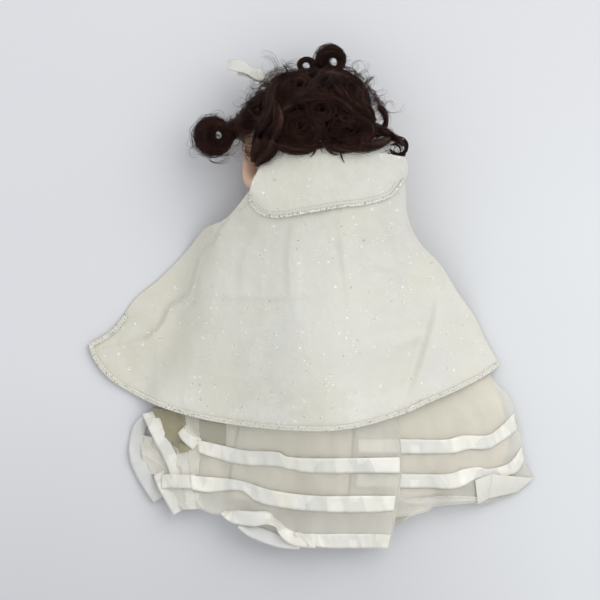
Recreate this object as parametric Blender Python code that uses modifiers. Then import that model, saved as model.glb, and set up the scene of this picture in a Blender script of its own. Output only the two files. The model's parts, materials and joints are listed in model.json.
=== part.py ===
"""Topsy turvy doll: two half dolls joined at the waist, one hidden under the skirt of the other.

The doll lies face down. X runs across it, Y towards the upper head, Z up.
Shapes are laid out from the waist, at the middle of the bodies, and an empty
carries them to the middle of the whole outline.
"""
import math

import bmesh
import bpy
import numpy as np
from mathutils import Vector

mm = 0.001

# Clearances and small steps
gap = 0.3 * mm
overrun = 4 * mm
weld_distance = 0.05 * mm

# Cloth, and the lattice that every draped sheet shares
cloth_thickness = 0.6 * mm
flat_pitch = 0.9 * mm
drape_pitch = 1.5 * mm
drape_cell = 12 * mm
flat_cell = 20 * mm

# Heads
skull_radius = 26.5 * mm
head_wall = 2 * mm
head_centre = 86 * mm
nose_length = 2.9 * mm
nose_radius = 3.4 * mm
neck_radius = 8 * mm
neck_wall = 2.5 * mm
neck_end = 50 * mm

# Bodies
body_end = 51 * mm
body_half_width = 28.5 * mm
body_half_depth = 15.5 * mm
body_wall = 1.6 * mm
waist_gap = 0.4 * mm
sleeve_reach = 8 * mm
sleeve_wall = 1.5 * mm

# Shoulders and arms
shoulder_height = 40 * mm
shoulder_stem_radius = 3.5 * mm
shoulder_button_radius = 5.5 * mm
shoulder_button_thickness = 1.2 * mm
button_inset = 7 * mm
arm_radius = 6.5 * mm
arm_reach = 30 * mm
arm_length = 48 * mm
arm_elastic_radius = 1 * mm

# Neck buttons and the elastic between them
neck_button_radius = 9 * mm
neck_button_thickness = 1.5 * mm
neck_elastic_radius = 1.5 * mm
elastic_offset = 3 * mm

# Clothes on the bodies
bodice_wall = 0.8 * mm
bodice_clearance = 2.5 * mm
waistband_wall = 1 * mm
waistband_half_height = 5 * mm
ring_points = 20

# Wig
facet_clearance = 0.7 * mm
cap_thickness = 2.5 * mm
roll_clearance = 0.8 * mm
roll_radius = 6.6 * mm
roll_pitch = 14 * mm
roll_lowest = 64 * mm
roll_puff = 5.5 * mm
roll_wave = 1.6 * mm
left_curl_radius = 9.6 * mm
left_curl_tube = 4.6 * mm
left_curl_reach = 71 * mm
left_curl_height = 69 * mm
top_curl_radius = 6.6 * mm
top_curl_tube = 3 * mm
small_curl_radius = 4 * mm
small_curl_tube = 1.7 * mm
low_curl_radius = 5.4 * mm
low_curl_tube = 2 * mm
loop_tube = 1.6 * mm

# Hair bow
bow_lobe_length = 13 * mm
bow_lobe_height = 7 * mm
bow_thickness = 1.6 * mm

# Cape, collar and braid
cape_width = 276 * mm
cape_length = 176 * mm
cape_top = 50 * mm
collar_width = 103 * mm
collar_length = 44 * mm
collar_top = 55 * mm
braid_radius = 1.5 * mm
braid_step = 7 * mm
fold_height = 4.5 * mm
fold_width = 8 * mm

# Skirt
skirt_length = 205 * mm
skirt_left = 127 * mm
skirt_right = 141 * mm
lining_length = 172 * mm
ripple_height = 4.5 * mm
ripple_length = 46 * mm
drape_spread = 55 * mm

# Values worked out from the sizes above
front_stack = 2 * flat_pitch + cloth_thickness
cap_radius = skull_radius + facet_clearance + cap_thickness
head_sweep = cap_radius + gap
axis_height = front_stack + gap + max(head_sweep, skull_radius + nose_length)
lining_level = front_stack + gap
right_level = lining_level + drape_pitch
left_level = right_level + drape_pitch
ribbon_level = left_level + drape_pitch
cape_level = ribbon_level
crown = head_centre + cap_radius
bodice_top = shoulder_height - shoulder_stem_radius - bodice_clearance

# The cape's outline from the neck, as shares of its width and length: left side, hem, right side
cape_left_shares = (
    (-0.09, 0.00), (-0.144, 0.06), (-0.175, 0.12), (-0.228, 0.20), (-0.283, 0.24),
    (-0.334, 0.333), (-0.399, 0.435), (-0.454, 0.506), (-0.507, 0.62),
)
cape_hem_shares = (
    (-0.567, 0.68), (-0.545, 0.745), (-0.521, 0.80), (-0.483, 0.846), (-0.399, 0.909), (-0.288, 0.959),
    (-0.173, 0.989), (-0.053, 1.00), (0.067, 0.992), (0.19, 0.94), (0.317, 0.857), (0.432, 0.763),
)
cape_right_shares = (
    (0.394, 0.657), (0.37, 0.571), (0.327, 0.476), (0.288, 0.382), (0.233, 0.291), (0.202, 0.194),
    (0.187, 0.077), (0.12, 0.00),
)
cape_shares = cape_left_shares + cape_hem_shares + cape_right_shares

# The collar's outline, the same way
collar_left_shares = ((-0.27, 0.02), (-0.38, 0.15), (-0.44, 0.38))
collar_hem_shares = (
    (-0.47, 0.66), (-0.46, 0.76), (-0.41, 0.92), (-0.33, 0.99), (-0.22, 1.0), (-0.07, 0.95),
    (0.17, 0.87), (0.41, 0.81), (0.49, 0.70), (0.53, 0.46),
)
collar_right_shares = ((0.54, 0.16), (0.44, 0.03), (0.1, 0.0))
collar_shares = collar_left_shares + collar_hem_shares + collar_right_shares

# Outlines of the skirt's sheets, as shares of the side they reach to and of the skirt's length
left_panel_shares = (
    (-0.16, 0.02), (-0.28, 0.06), (-0.52, 0.16), (-0.70, 0.30), (-0.86, 0.46), (-0.93, 0.58),
    (-1.00, 0.68), (-0.99, 0.745), (-0.93, 0.79), (-0.855, 0.855), (-0.76, 0.90),
    (-0.64, 0.877), (-0.50, 0.90), (-0.38, 0.94), (-0.31, 0.974), (-0.235, 0.993),
    (-0.07, 1.0), (0.315, 1.0), (0.352, 0.883), (0.37, 0.70), (0.35, 0.45), (0.28, 0.22), (0.12, 0.02),
)
right_panel_shares = (
    (0.12, 0.02), (0.23, 0.06), (0.42, 0.16), (0.60, 0.28), (0.76, 0.42), (0.885, 0.51),
    (0.915, 0.563), (0.93, 0.615), (0.944, 0.66), (0.945, 0.70), (1.0, 0.776), (0.925, 0.822),
    (0.855, 0.838), (0.76, 0.86), (0.71, 0.855), (0.54, 0.861), (0.49, 0.883), (0.352, 0.897),
    (0.14, 0.89), (0.14, 0.60), (0.1, 0.30),
)
front_panel_shares = (
    (-0.15, 0.0), (-0.26, 0.06), (-0.50, 0.17), (-0.68, 0.31), (-0.84, 0.47), (-0.97, 0.62),
    (-0.98, 0.74), (-0.88, 0.84), (-0.60, 0.90), (-0.30, 0.95), (0.05, 0.965), (0.34, 0.95),
    (0.60, 0.88), (0.86, 0.83), (0.95, 0.77), (0.93, 0.66), (0.90, 0.56), (0.74, 0.43),
    (0.58, 0.29), (0.40, 0.17), (0.22, 0.06), (0.13, 0.0),
)
lining_shares = (
    (-0.155, 0.03), (-0.26, 0.08), (-0.48, 0.20), (-0.66, 0.36), (-0.80, 0.55), (-0.87, 0.76),
    (-0.84, 0.88), (-0.68, 0.95), (-0.36, 0.99), (0.0, 1.0), (0.36, 0.99), (0.62, 0.96),
    (0.80, 0.91), (0.87, 0.80), (0.84, 0.63), (0.70, 0.46), (0.55, 0.32), (0.38, 0.19),
    (0.21, 0.08), (0.12, 0.03),
)

# Ribbon rows: points along the upper edge, as shares, and the ribbon's width
ribbon_width = 9.6 * mm
left_row_shares = (
    ((-0.64, 0.650), (-0.40, 0.680), (-0.24, 0.690), (-0.10, 0.700), (0.10, 0.702), (0.33, 0.705)),
    ((-0.68, 0.768), (-0.50, 0.775), (-0.40, 0.785), (-0.26, 0.808), (0.00, 0.823), (0.32, 0.828)),
    ((-0.45, 0.895), (-0.34, 0.930), (-0.20, 0.948), (0.00, 0.952), (0.31, 0.954)),
)
right_row_shares = (
    ((0.38, 0.645), (0.58, 0.645), (0.72, 0.636), (0.80, 0.620), (0.90, 0.580)),
    ((0.38, 0.758), (0.58, 0.756), (0.74, 0.745), (0.84, 0.735), (0.93, 0.705)),
    ((0.38, 0.832), (0.55, 0.846), (0.68, 0.834), (0.80, 0.800), (0.90, 0.782)),
)
front_row_shares = (
    ((-0.88, 0.620), (-0.50, 0.670), (0.00, 0.690), (0.45, 0.670), (0.82, 0.620)),
    ((-0.86, 0.735), (-0.50, 0.780), (0.00, 0.800), (0.45, 0.780), (0.82, 0.730)),
    ((-0.50, 0.850), (-0.25, 0.885), (0.00, 0.900), (0.22, 0.895), (0.42, 0.870)),
)

# Height of the drape along the middle, as shares of the skirt's length and of crest_height
crest_height = 64 * mm
crest_shares = (
    (-0.30, 0.74), (-0.20, 0.81), (-0.10, 0.79), (0.0, 0.745), (0.10, 0.80), (0.20, 0.87),
    (0.30, 0.945), (0.40, 0.995), (0.50, 0.975), (0.60, 0.84), (0.70, 0.63), (0.80, 0.42),
    (0.90, 0.27), (1.0, 0.18),
)
# Half width of the drape at each place along the skirt, as shares of its length and of its reach
span_shares = (
    (-0.30, 0.75), (-0.05, 0.55), (0.0, 0.29), (0.05, 0.37), (0.12, 0.53), (0.25, 0.72),
    (0.45, 0.93), (0.60, 1.10), (1.0, 1.15),
)
# The cape stands wider over the shoulders, as shares of the skirt's length and of drape_spread
cape_spread_shares = ((-0.30, 1.4), (-0.10, 1.38), (0.10, 1.1), (0.30, 1.0), (1.0, 1.0))
cape_span_shares = ((-0.30, 0.75), (0.0, 0.75), (0.25, 0.87), (0.45, 1.02), (0.60, 1.18), (1.0, 1.22))
front_rise_shares = ((0.0, 1.0), (0.05, 0.72), (0.10, 0.42), (0.16, 0.14), (0.22, 0.0), (1.0, 0.0))

# Folds of the cape: both ends as shares of its width and length, then shares of height and width
fold_shares = (
    ((-0.235, 0.24), (-0.290, 0.34), 0.8, 0.8),
    ((-0.290, 0.34), (-0.319, 0.495), 0.9, 0.9),
    ((-0.319, 0.495), (-0.425, 0.66), 1.0, 1.0),
    ((0.279, 0.53), (0.210, 0.89), 0.9, 1.0),
    ((0.225, 0.64), (0.087, 0.695), 0.5, 0.8),
    ((-0.065, 0.33), (-0.085, 0.50), 0.45, 0.7),
    ((0.043, 0.33), (0.050, 0.52), 0.45, 0.7),
)

# Body stations: height, half width and half depth as shares of the body's own sizes
body_shares = (
    (0.00, 0.53, 0.77), (0.14, 0.55, 0.79), (0.30, 0.66, 0.86), (0.48, 0.85, 0.97),
    (0.66, 0.95, 1.00), (0.80, 1.00, 0.96), (0.90, 0.90, 0.82), (0.96, 0.66, 0.68), (1.00, 0.33, 0.60),
)


def start_scene():
    for thing in list(bpy.data.objects):
        bpy.data.objects.remove(thing, do_unlink=True)
    doll = bpy.data.collections.new("topsy_turvy_doll")
    cutters = bpy.data.collections.new("cutters")
    bpy.context.scene.collection.children.link(doll)
    bpy.context.scene.collection.children.link(cutters)
    return doll, cutters


DOLL, CUTTERS = start_scene()


def make_material(name, color, roughness, metallic=0.0):
    material = bpy.data.materials.new(name)
    material.use_nodes = True
    shader = material.node_tree.nodes["Principled BSDF"]
    shader.inputs["Base Color"].default_value = (*color, 1.0)
    shader.inputs["Roughness"].default_value = roughness
    shader.inputs["Metallic"].default_value = metallic
    return material


COLORS = {
    "skin": ((0.56, 0.37, 0.28), 0.45, 0.0),
    "hair": ((0.03, 0.016, 0.014), 0.5, 0.0),
    "cape": ((0.68, 0.67, 0.60), 0.7, 0.0),
    "braid": ((0.6, 0.58, 0.5), 0.35, 0.6),
    "organza": ((0.66, 0.64, 0.56), 0.5, 0.0),
    "lining": ((0.55, 0.52, 0.42), 0.7, 0.0),
    "ribbon": ((0.76, 0.73, 0.67), 0.3, 0.0),
    "elastic": ((0.6, 0.58, 0.52), 0.8, 0.0),
    "button": ((0.7, 0.68, 0.62), 0.4, 0.0),
}


def empty_at(name, place, parent=None):
    empty = bpy.data.objects.new(name, None)
    empty.location = place
    empty.parent = parent
    DOLL.objects.link(empty)
    return empty


# The outline's middle comes from how far the cape, the skirt and the curls reach
cape_reach_left = -min(x for x, y in cape_shares) * cape_width + gap + 2 * braid_radius
top_curl_place = crown + top_curl_radius
doll_reach_up = top_curl_place + top_curl_radius + top_curl_tube
axis_x = (cape_reach_left - skirt_right) / 2
waist_y = (skirt_length - doll_reach_up) / 2
ROOT = empty_at("doll_waist", Vector((axis_x, waist_y, 0)))


def joint_empty(name, place):
    return empty_at(name, Vector(place), ROOT)


UPPER_NECK = joint_empty("upper_neck_axis", (0, neck_end, axis_height))
LOWER_NECK = joint_empty("lower_neck_axis", (0, -neck_end, axis_height))
SHOULDERS = {
    "upper_left": joint_empty("upper_left_shoulder_axis", (-arm_reach, shoulder_height, axis_height)),
    "upper_right": joint_empty("upper_right_shoulder_axis", (arm_reach, shoulder_height, axis_height)),
    "lower_left": joint_empty("lower_left_shoulder_axis", (-arm_reach, -shoulder_height, axis_height)),
    "lower_right": joint_empty("lower_right_shoulder_axis", (arm_reach, -shoulder_height, axis_height)),
}


def place_object(name, data, kind, carrier=None):
    """A named object whose data is written from the waist, carried by the empty at its joint."""
    thing = bpy.data.objects.new(name, data)
    carrier = carrier or ROOT
    thing.parent = carrier
    if carrier is not ROOT:
        thing.location = -carrier.location
    color, roughness, metallic = COLORS[kind]
    data.materials.append(make_material(name + "_finish", color, roughness, metallic))
    DOLL.objects.link(thing)
    return thing


def mesh_from(name, bm, smooth_angle=40):
    mesh = bpy.data.meshes.new(name)
    bmesh.ops.recalc_face_normals(bm, faces=bm.faces)
    bm.to_mesh(mesh)
    bm.free()
    mesh.shade_smooth()
    mesh.set_sharp_from_angle(angle=math.radians(smooth_angle))
    return mesh


def make_cutter(name, mesh):
    cutter = bpy.data.objects.new(name, mesh)
    cutter.parent = ROOT
    cutter.hide_render = True
    cutter.display_type = "WIRE"
    CUTTERS.objects.link(cutter)
    return cutter


def add_boolean(thing, cutter, operation="DIFFERENCE"):
    cut = thing.modifiers.new(cutter.name, "BOOLEAN")
    cut.operation = operation
    cut.object = cutter


def cylinder_cutter(name, start, end, radius, sides=24):
    """A round bar from start to end."""
    start, end = Vector(start), Vector(end)
    bm = bmesh.new()
    bmesh.ops.create_cone(bm, cap_ends=True, segments=sides, radius1=radius, radius2=radius,
                          depth=(end - start).length)
    turn = Vector((0, 0, 1)).rotation_difference(end - start).to_matrix().to_4x4()
    bmesh.ops.transform(bm, matrix=turn, verts=bm.verts)
    bmesh.ops.translate(bm, vec=(start + end) / 2, verts=bm.verts)
    return make_cutter(name, mesh_from(name, bm))


def loft(rings, closed=True, caps=True):
    """Skin a list of rings that hold equally many points."""
    bm = bmesh.new()
    rows = [[bm.verts.new(point) for point in ring] for ring in rings]
    count = len(rows[0])
    last = count if closed else count - 1
    for low, high in zip(rows, rows[1:]):
        for i in range(last):
            j = (i + 1) % count
            bm.faces.new((low[i], low[j], high[j], high[i]))
    if caps:
        bm.faces.new(rows[0])
        bm.faces.new(rows[-1])
    return bm


def smooth_path(points, steps):
    """A Catmull-Rom curve through the points, with so many steps between each two."""
    points = [Vector(point) for point in points]
    padded = [2 * points[0] - points[1], *points, 2 * points[-1] - points[-2]]
    path = []
    for a, b, c, d in zip(padded, padded[1:], padded[2:], padded[3:]):
        for step in range(steps):
            t = step / steps
            path.append(0.5 * (2 * b + (c - a) * t + (2 * a - 5 * b + 4 * c - d) * t ** 2
                               + (3 * b - a - 3 * c + d) * t ** 3))
    path.append(points[-1])
    return path


def share_at(table, place):
    """Read a table of share pairs by straight lines between its entries."""
    return float(np.interp(place, [row[0] for row in table], [row[1] for row in table]))


def sweep(path, radii, sides=8, flat=None, up=(0, 0, 1)):
    """Rings along a path; flat gives each ring's thickness across up as a share of its radius."""
    flat = flat or [1.0] * len(path)
    rings = []
    for i, point in enumerate(path):
        ahead = path[min(i + 1, len(path) - 1)] - path[max(i - 1, 0)]
        ahead.normalize()
        side = ahead.cross(Vector(up))
        side.normalize()
        over = side.cross(ahead)
        ring = []
        for k in range(sides):
            angle = 2 * math.pi * (k + 0.5) / sides
            across = side * radii[i] * math.cos(angle)
            ring.append(point + across + over * radii[i] * flat[i] * math.sin(angle))
        rings.append(ring)
    return rings


def tube(name, kind, points, radius, carrier=None, resolution=1):
    """A round wire or cord: a curve with filled caps."""
    curve = bpy.data.curves.new(name, "CURVE")
    curve.dimensions = "3D"
    curve.bevel_depth = radius
    curve.bevel_resolution = resolution
    curve.use_fill_caps = True
    spline = curve.splines.new("POLY")
    spline.points.add(len(points) - 1)
    for slot, point in zip(spline.points, points):
        slot.co = (*point, 1)
    return place_object(name, curve, kind, carrier)


def turned(name, kind, profile, centre, axis_along, carrier=None, steps=20):
    """A profile of (radius, height) pairs turned about the line through centre along axis_along."""
    mesh = bpy.data.meshes.new(name)
    axis_along = Vector(axis_along)
    turn = Vector((0, 0, 1)).rotation_difference(axis_along).to_matrix()
    points = [Vector((radius, 0, height)) for radius, height in profile]
    mesh.from_pydata(points, [(i, i + 1) for i in range(len(points) - 1)], [])
    thing = place_object(name, mesh, kind, carrier)
    thing.location = thing.location + Vector(centre)
    thing.rotation_euler = turn.to_euler()
    screw = thing.modifiers.new("turn", "SCREW")
    screw.axis = "Z"
    screw.steps = steps
    screw.render_steps = steps
    screw.use_merge_vertices = True
    screw.merge_threshold = weld_distance
    return thing


# Heads

def head_profile():
    """Outer side from the crown to the neck's end, then back up inside."""
    inner = skull_radius - head_wall
    neck_inner = neck_radius - neck_wall
    outer_end = math.acos(-math.sqrt(1 - (neck_radius / skull_radius) ** 2))
    inner_end = math.acos(-math.sqrt(1 - (neck_inner / inner) ** 2))
    profile = [(skull_radius * math.sin(a), skull_radius * math.cos(a))
               for a in np.linspace(0, outer_end, 11)]
    foot = neck_end - head_centre
    profile += [(neck_radius, foot), (neck_inner, foot)]
    profile += [(inner * math.sin(a), inner * math.cos(a)) for a in np.linspace(inner_end, 0, 8)]
    return profile


def nose_cutter(name, centre):
    """A small round nose that stands out of the skull towards the floor."""
    bm = bmesh.new()
    bmesh.ops.create_uvsphere(bm, u_segments=12, v_segments=8, radius=nose_radius)
    reach = skull_radius + nose_length - nose_radius
    bmesh.ops.translate(bm, vec=Vector(centre) - Vector((0, 0, reach)), verts=bm.verts)
    return make_cutter(name, mesh_from(name, bm))


def make_head(which, sign, carrier):
    centre = (0, sign * head_centre, axis_height)
    head = turned(which + "_head", "skin", head_profile(), centre, (0, sign, 0), carrier)
    add_boolean(head, nose_cutter(which + "_nose", centre), "UNION")
    return head


def button_seat():
    """Height inside the head at which the neck button's rim meets the wall, from the head's centre."""
    inner = skull_radius - head_wall
    return -math.sqrt(inner ** 2 - (neck_button_radius + gap) ** 2)


def make_neck_button(which, sign, carrier):
    stem = neck_radius - neck_wall - gap
    seat = button_seat() + facet_clearance
    foot = neck_end - head_centre - gap
    profile = [(0, seat + neck_button_thickness), (neck_button_radius, seat + neck_button_thickness),
               (neck_button_radius, seat), (stem, seat), (stem, foot), (0, foot)]
    return turned(which + "_neck_button", "button", profile, (0, sign * head_centre, axis_height),
                  (0, sign, 0), carrier)


def make_neck_elastic():
    foot = neck_end - 2 * gap
    height = axis_height + elastic_offset
    points = [(0, y, height) for y in np.linspace(-foot, foot, 5)]
    return tube("neck_elastic", "elastic", points, neck_elastic_radius, resolution=2)


# Bodies

def body_size(share):
    """Half width and half depth at a share of the body's height."""
    heights = [row[0] for row in body_shares]
    width = np.interp(share, heights, [row[1] for row in body_shares]) * body_half_width
    depth = np.interp(share, heights, [row[2] for row in body_shares]) * body_half_depth
    return float(width), float(depth)


def clothes_ring(sign, y, grow):
    """A closed ring round a body at height y, grown beyond its skin."""
    width, depth = body_size(y / body_end)
    return oval_ring(width + grow, depth + grow, sign * y)


def oval_ring(half_width, half_depth, y):
    angles = np.linspace(0, 2 * math.pi, ring_points, endpoint=False)
    return [Vector((half_width * math.cos(a), y, axis_height + half_depth * math.sin(a))) for a in angles]


def shell_from(name, kind, rings, closed, thickness, offset):
    bm = loft(rings, closed=closed, caps=False)
    thing = place_object(name, mesh_from(name, bm), kind)
    wall = thing.modifiers.new("wall", "SOLIDIFY")
    wall.thickness = thickness
    wall.offset = offset
    return thing


def half_cutter(side):
    """A box over everything in front of, or behind, the plane of the arms."""
    height = 2 * axis_height
    bm = bmesh.new()
    bmesh.ops.create_cube(bm, size=1)
    reach = 2 * (body_half_width + overrun)
    bmesh.ops.scale(bm, vec=(reach, 2 * (body_end + overrun), height), verts=bm.verts)
    lift = (height + gap) / 2
    middle = axis_height + (lift if side == "back" else -lift)
    bmesh.ops.translate(bm, vec=(0, 0, middle), verts=bm.verts)
    return make_cutter("body_" + side + "_half", mesh_from("body_" + side + "_half", bm))


HALVES = {side: half_cutter(side) for side in ("front", "back")}


def make_body_shell(which, sign, side):
    """Half of a body, split along the plane of the arms."""
    start = waist_gap / 2 / body_end
    rings = [clothes_ring(sign, max(row[0], start) * body_end, 0) for row in body_shares]
    return shell_from(f"{which}_body_{side}", "skin", rings, True, body_wall, -1)


def cut_body_holes(shells, which, sign):
    neck = cylinder_cutter(which + "_neck_hole", (0, sign * (body_end - overrun), axis_height),
                           (0, sign * (body_end + overrun), axis_height), neck_radius + gap)
    reach = body_half_width + overrun
    arms = cylinder_cutter(which + "_arm_holes", (-reach, sign * shoulder_height, axis_height),
                           (reach, sign * shoulder_height, axis_height), shoulder_stem_radius + gap)
    for shell, side in zip(shells, ("front", "back")):
        add_boolean(shell, neck)
        add_boolean(shell, arms)
        add_boolean(shell, HALVES[side], "INTERSECT")


def make_waist_sleeve():
    """A short tube inside both bodies, which joins them."""
    width, depth = body_size(0)
    inset = body_wall + gap
    rings = [oval_ring(width - inset, depth - inset, y) for y in (-sleeve_reach, 0, sleeve_reach)]
    return shell_from("waist_sleeve", "button", rings, True, sleeve_wall, -1)


def make_bodice(which, sign):
    """A strapless bodice from the waist to under the arms."""
    heights = np.linspace(waist_gap, bodice_top, 5)
    rings = [clothes_ring(sign, y, 2 * gap) for y in heights]
    return shell_from(which + "_bodice", "ribbon", rings, True, bodice_wall, 1)


def make_waistband():
    """A band round both bodices at the waist."""
    grow = 3 * gap + bodice_wall
    width, depth = body_size(waistband_half_height / body_end)
    heights = (-waistband_half_height, 0, waistband_half_height)
    rings = [oval_ring(width + grow, depth + grow, y) for y in heights]
    return shell_from("waistband", "ribbon", rings, True, waistband_wall, 1)


# Arms

def shoulder_place(sign, side):
    return Vector((side * arm_reach, sign * shoulder_height, axis_height))


def make_arm(name, carrier, sign, side, joints):
    """An arm lofted along its joints: (across, along, up) from the shoulder, as shares of its length."""
    start = shoulder_place(sign, side)
    points = [start + Vector((side * x, sign * y, z)) * arm_length for x, y, z in joints]
    path = smooth_path(points, 3)
    marks = np.linspace(0, 1, len(path))
    radii = [arm_radius * share_at(arm_radius_shares, mark) for mark in marks]
    flats = [share_at(arm_flat_shares, mark) for mark in marks]
    rings = sweep(path, radii, sides=10, flat=flats)
    flat_ring = [Vector((start.x, point.y, point.z)) for point in rings[0]]
    return place_object(name, mesh_from(name, loft([flat_ring, *rings[1:]])), "skin", carrier)


arm_radius_shares = ((0.0, 0.86), (0.2, 0.98), (0.5, 0.74), (0.78, 0.50), (0.88, 0.68), (0.97, 0.56),
                     (1.0, 0.30))
arm_flat_shares = ((0.0, 1.0), (0.7, 0.95), (0.86, 0.55), (1.0, 0.5))
raised_shares = ((0.0, 0.0, 0.0), (0.14, 0.0, -0.03), (0.29, 0.03, -0.14), (0.40, 0.18, -0.26),
                 (0.43, 0.40, -0.38), (0.43, 0.57, -0.46))
hanging_shares = ((0.0, 0.0, 0.0), (0.14, -0.08, -0.07), (0.24, -0.35, -0.18), (0.32, -0.62, -0.27),
                  (0.38, -0.88, -0.37))
lifted_shares = ((0.0, 0.0, 0.0), (0.11, 0.05, -0.07), (0.17, 0.33, -0.18), (0.21, 0.60, -0.26),
                 (0.23, 0.86, -0.33))


def make_shoulder_button(name, carrier, sign, side):
    """A button inside the body's wall, with a stem that reaches the arm."""
    width, _ = body_size(shoulder_height / body_end)
    rim = width - button_inset
    stem_end = arm_reach - gap
    profile = [(0, stem_end), (shoulder_stem_radius, stem_end), (shoulder_stem_radius, rim),
               (shoulder_button_radius, rim), (shoulder_button_radius, rim - shoulder_button_thickness),
               (0, rim - shoulder_button_thickness)]
    return turned(name, "button", profile, (0, sign * shoulder_height, axis_height), (side, 0, 0),
                  carrier)


def make_arm_elastic(which, sign):
    width, _ = body_size(shoulder_height / body_end)
    end = width - button_inset - shoulder_button_thickness - gap
    points = [(x, sign * shoulder_height, axis_height) for x in (-end, 0, end)]
    return tube(which + "_arm_elastic", "elastic", points, arm_elastic_radius, resolution=2)


# Wigs

# How far each cap comes down from its crown, and its tilt, as shares of a half turn
upper_cap_share = 0.56
lower_cap_share = 0.52
cap_tilt_share = 0.2


def cap_profile(coverage):
    """A bowl round the skull, from its crown to the coverage angle."""
    inner = skull_radius + facet_clearance
    outer = cap_radius
    profile = [(outer * math.sin(a), outer * math.cos(a)) for a in np.linspace(0, coverage, 8)]
    profile += [(inner * math.sin(a), inner * math.cos(a)) for a in np.linspace(coverage, 0, 8)]
    return profile


def make_cap(name, sign, carrier, coverage, tilt):
    """A wig cap, tipped backwards so that it leaves the face free."""
    centre = (0, sign * head_centre, axis_height)
    along = (0, sign * math.cos(tilt), math.sin(tilt))
    return turned(name, "hair", cap_profile(coverage), centre, along, carrier)


def roll_path(y, reach_angle):
    """The middle of a roll of hair that goes round the back of the cap at a height y."""
    outer = cap_radius + roll_clearance + roll_radius
    away = y - head_centre
    ring = math.sqrt(outer ** 2 - away ** 2)
    path = []
    for angle in np.linspace(-reach_angle, reach_angle, 15):
        stretch = roll_puff * abs(math.sin(angle))
        path.append(Vector(((ring + stretch) * math.sin(angle), y + roll_wave * math.sin(3 * angle),
                            axis_height + ring * math.cos(angle))))
    return path


roll_taper_shares = ((0.0, 0.35), (0.12, 0.85), (0.3, 1.0), (0.7, 1.0), (0.88, 0.85), (1.0, 0.35))
roll_names = ("nape_roll", "low_roll", "high_roll", "crown_roll")
roll_reach_shares = (0.60, 0.80, 0.80, 0.66)


def make_rolls():
    for row, (name, reach) in enumerate(zip(roll_names, roll_reach_shares)):
        path = roll_path(roll_lowest + row * roll_pitch, reach * math.pi)
        marks = np.linspace(0, 1, len(path))
        radii = [roll_radius * share_at(roll_taper_shares, mark) for mark in marks]
        rings = sweep(path, radii, sides=8, up=(0, 1, 0))
        place_object(name, mesh_from(name, loft(rings)), "hair", UPPER_NECK)


def make_curl(name, centre, ring_radius, tube_radius, first_angle, turn, root=None):
    """A curl lying flat: part of a ring, led in from its root."""
    path = [Vector(root)] if root else []
    count = 11
    for angle in np.linspace(first_angle, first_angle + turn, count):
        path.append(Vector(centre) + ring_radius * Vector((math.cos(angle), math.sin(angle), 0)))
    radii = [tube_radius] * len(path)
    radii[-1] = tube_radius / 2
    rings = sweep(path, radii, sides=8)
    return place_object(name, mesh_from(name, loft(rings)), "hair", UPPER_NECK)


# Each curl's first angle and its turn, as shares of a half turn
curl_turn_shares = {"left": (0.33, 1.6), "top": (-0.35, 1.65), "small": (-0.35, 1.6), "low": (0.45, -1.5)}
# How far a root reaches into the rolls, as shares of the roll's or the lock's own radius
left_root_share = 0.28
low_root_share = 0.2
# The loop beside the rolls: out as shares of its tube, down as shares of the roll pitch
loop_shares = ((-0.45, 0.0), (2.0, 0.3), (1.0, 0.6))


def make_curls():
    middle = axis_height
    crown_level = crown + roll_clearance
    side_reach = roll_side_reach()
    turns = {which: (first * math.pi, turn * math.pi) for which, (first, turn) in curl_turn_shares.items()}
    make_curl("left_curl", (-left_curl_reach, left_curl_height, middle), left_curl_radius, left_curl_tube,
              *turns["left"],
              (-(side_reach - left_root_share * roll_radius), left_curl_height + left_curl_radius, middle))
    make_curl("top_curl", (roll_radius, top_curl_place, middle), top_curl_radius, top_curl_tube,
              *turns["top"])
    make_curl("small_curl", (-2 * roll_radius, crown_level + small_curl_tube, middle + small_curl_radius),
              small_curl_radius, small_curl_tube, *turns["small"])
    make_curl("low_curl", (side_reach + low_curl_tube, roll_lowest, middle), low_curl_radius, low_curl_tube,
              *turns["low"],
              (side_reach - low_root_share * low_curl_tube, roll_lowest + roll_pitch, middle))
    rise = roll_lowest + 2 * roll_pitch
    loop_points = [(side_reach + out * loop_tube, rise - down * roll_pitch, middle)
                   for out, down in loop_shares]
    tube("right_loop", "hair", smooth_path(loop_points, 3), loop_tube, UPPER_NECK)


def roll_side_reach():
    """How far a middle roll stands out sideways from the axis."""
    outer = cap_radius + roll_clearance + roll_radius
    return outer + roll_puff + roll_radius


# The bow's root in the rolls, as shares of the roll's radius, its line and its width, as shares of a lobe
bow_root_shares = (1.6, 1.1)
bow_line_shares = ((0.0, 0.0), (-0.54, 0.5), (-1.0, 1.0), (-1.9, 0.9))
bow_width_shares = ((0.0, 0.4), (0.3, 0.9), (0.5, 0.5), (0.8, 1.0), (1.0, 0.6))


def make_hair_bow():
    """Two flat lobes and a tail, left of the crown."""
    inwards, upwards = bow_root_shares
    top = roll_lowest + 3 * roll_pitch
    root = Vector((-(roll_side_reach() - inwards * roll_radius), top + upwards * roll_radius, axis_height))
    path = smooth_path([root + Vector((x * bow_lobe_length, y * bow_lobe_height, 0))
                        for x, y in bow_line_shares], 3)
    marks = np.linspace(0, 1, len(path))
    radii = [bow_lobe_height / 2 * share_at(bow_width_shares, mark) for mark in marks]
    flats = [bow_thickness / 2 / radius for radius in radii]
    rings = sweep(path, radii, sides=8, flat=flats)
    return place_object("hair_bow", mesh_from("hair_bow", loft(rings)), "ribbon", UPPER_NECK)


# Draped cloth

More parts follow.
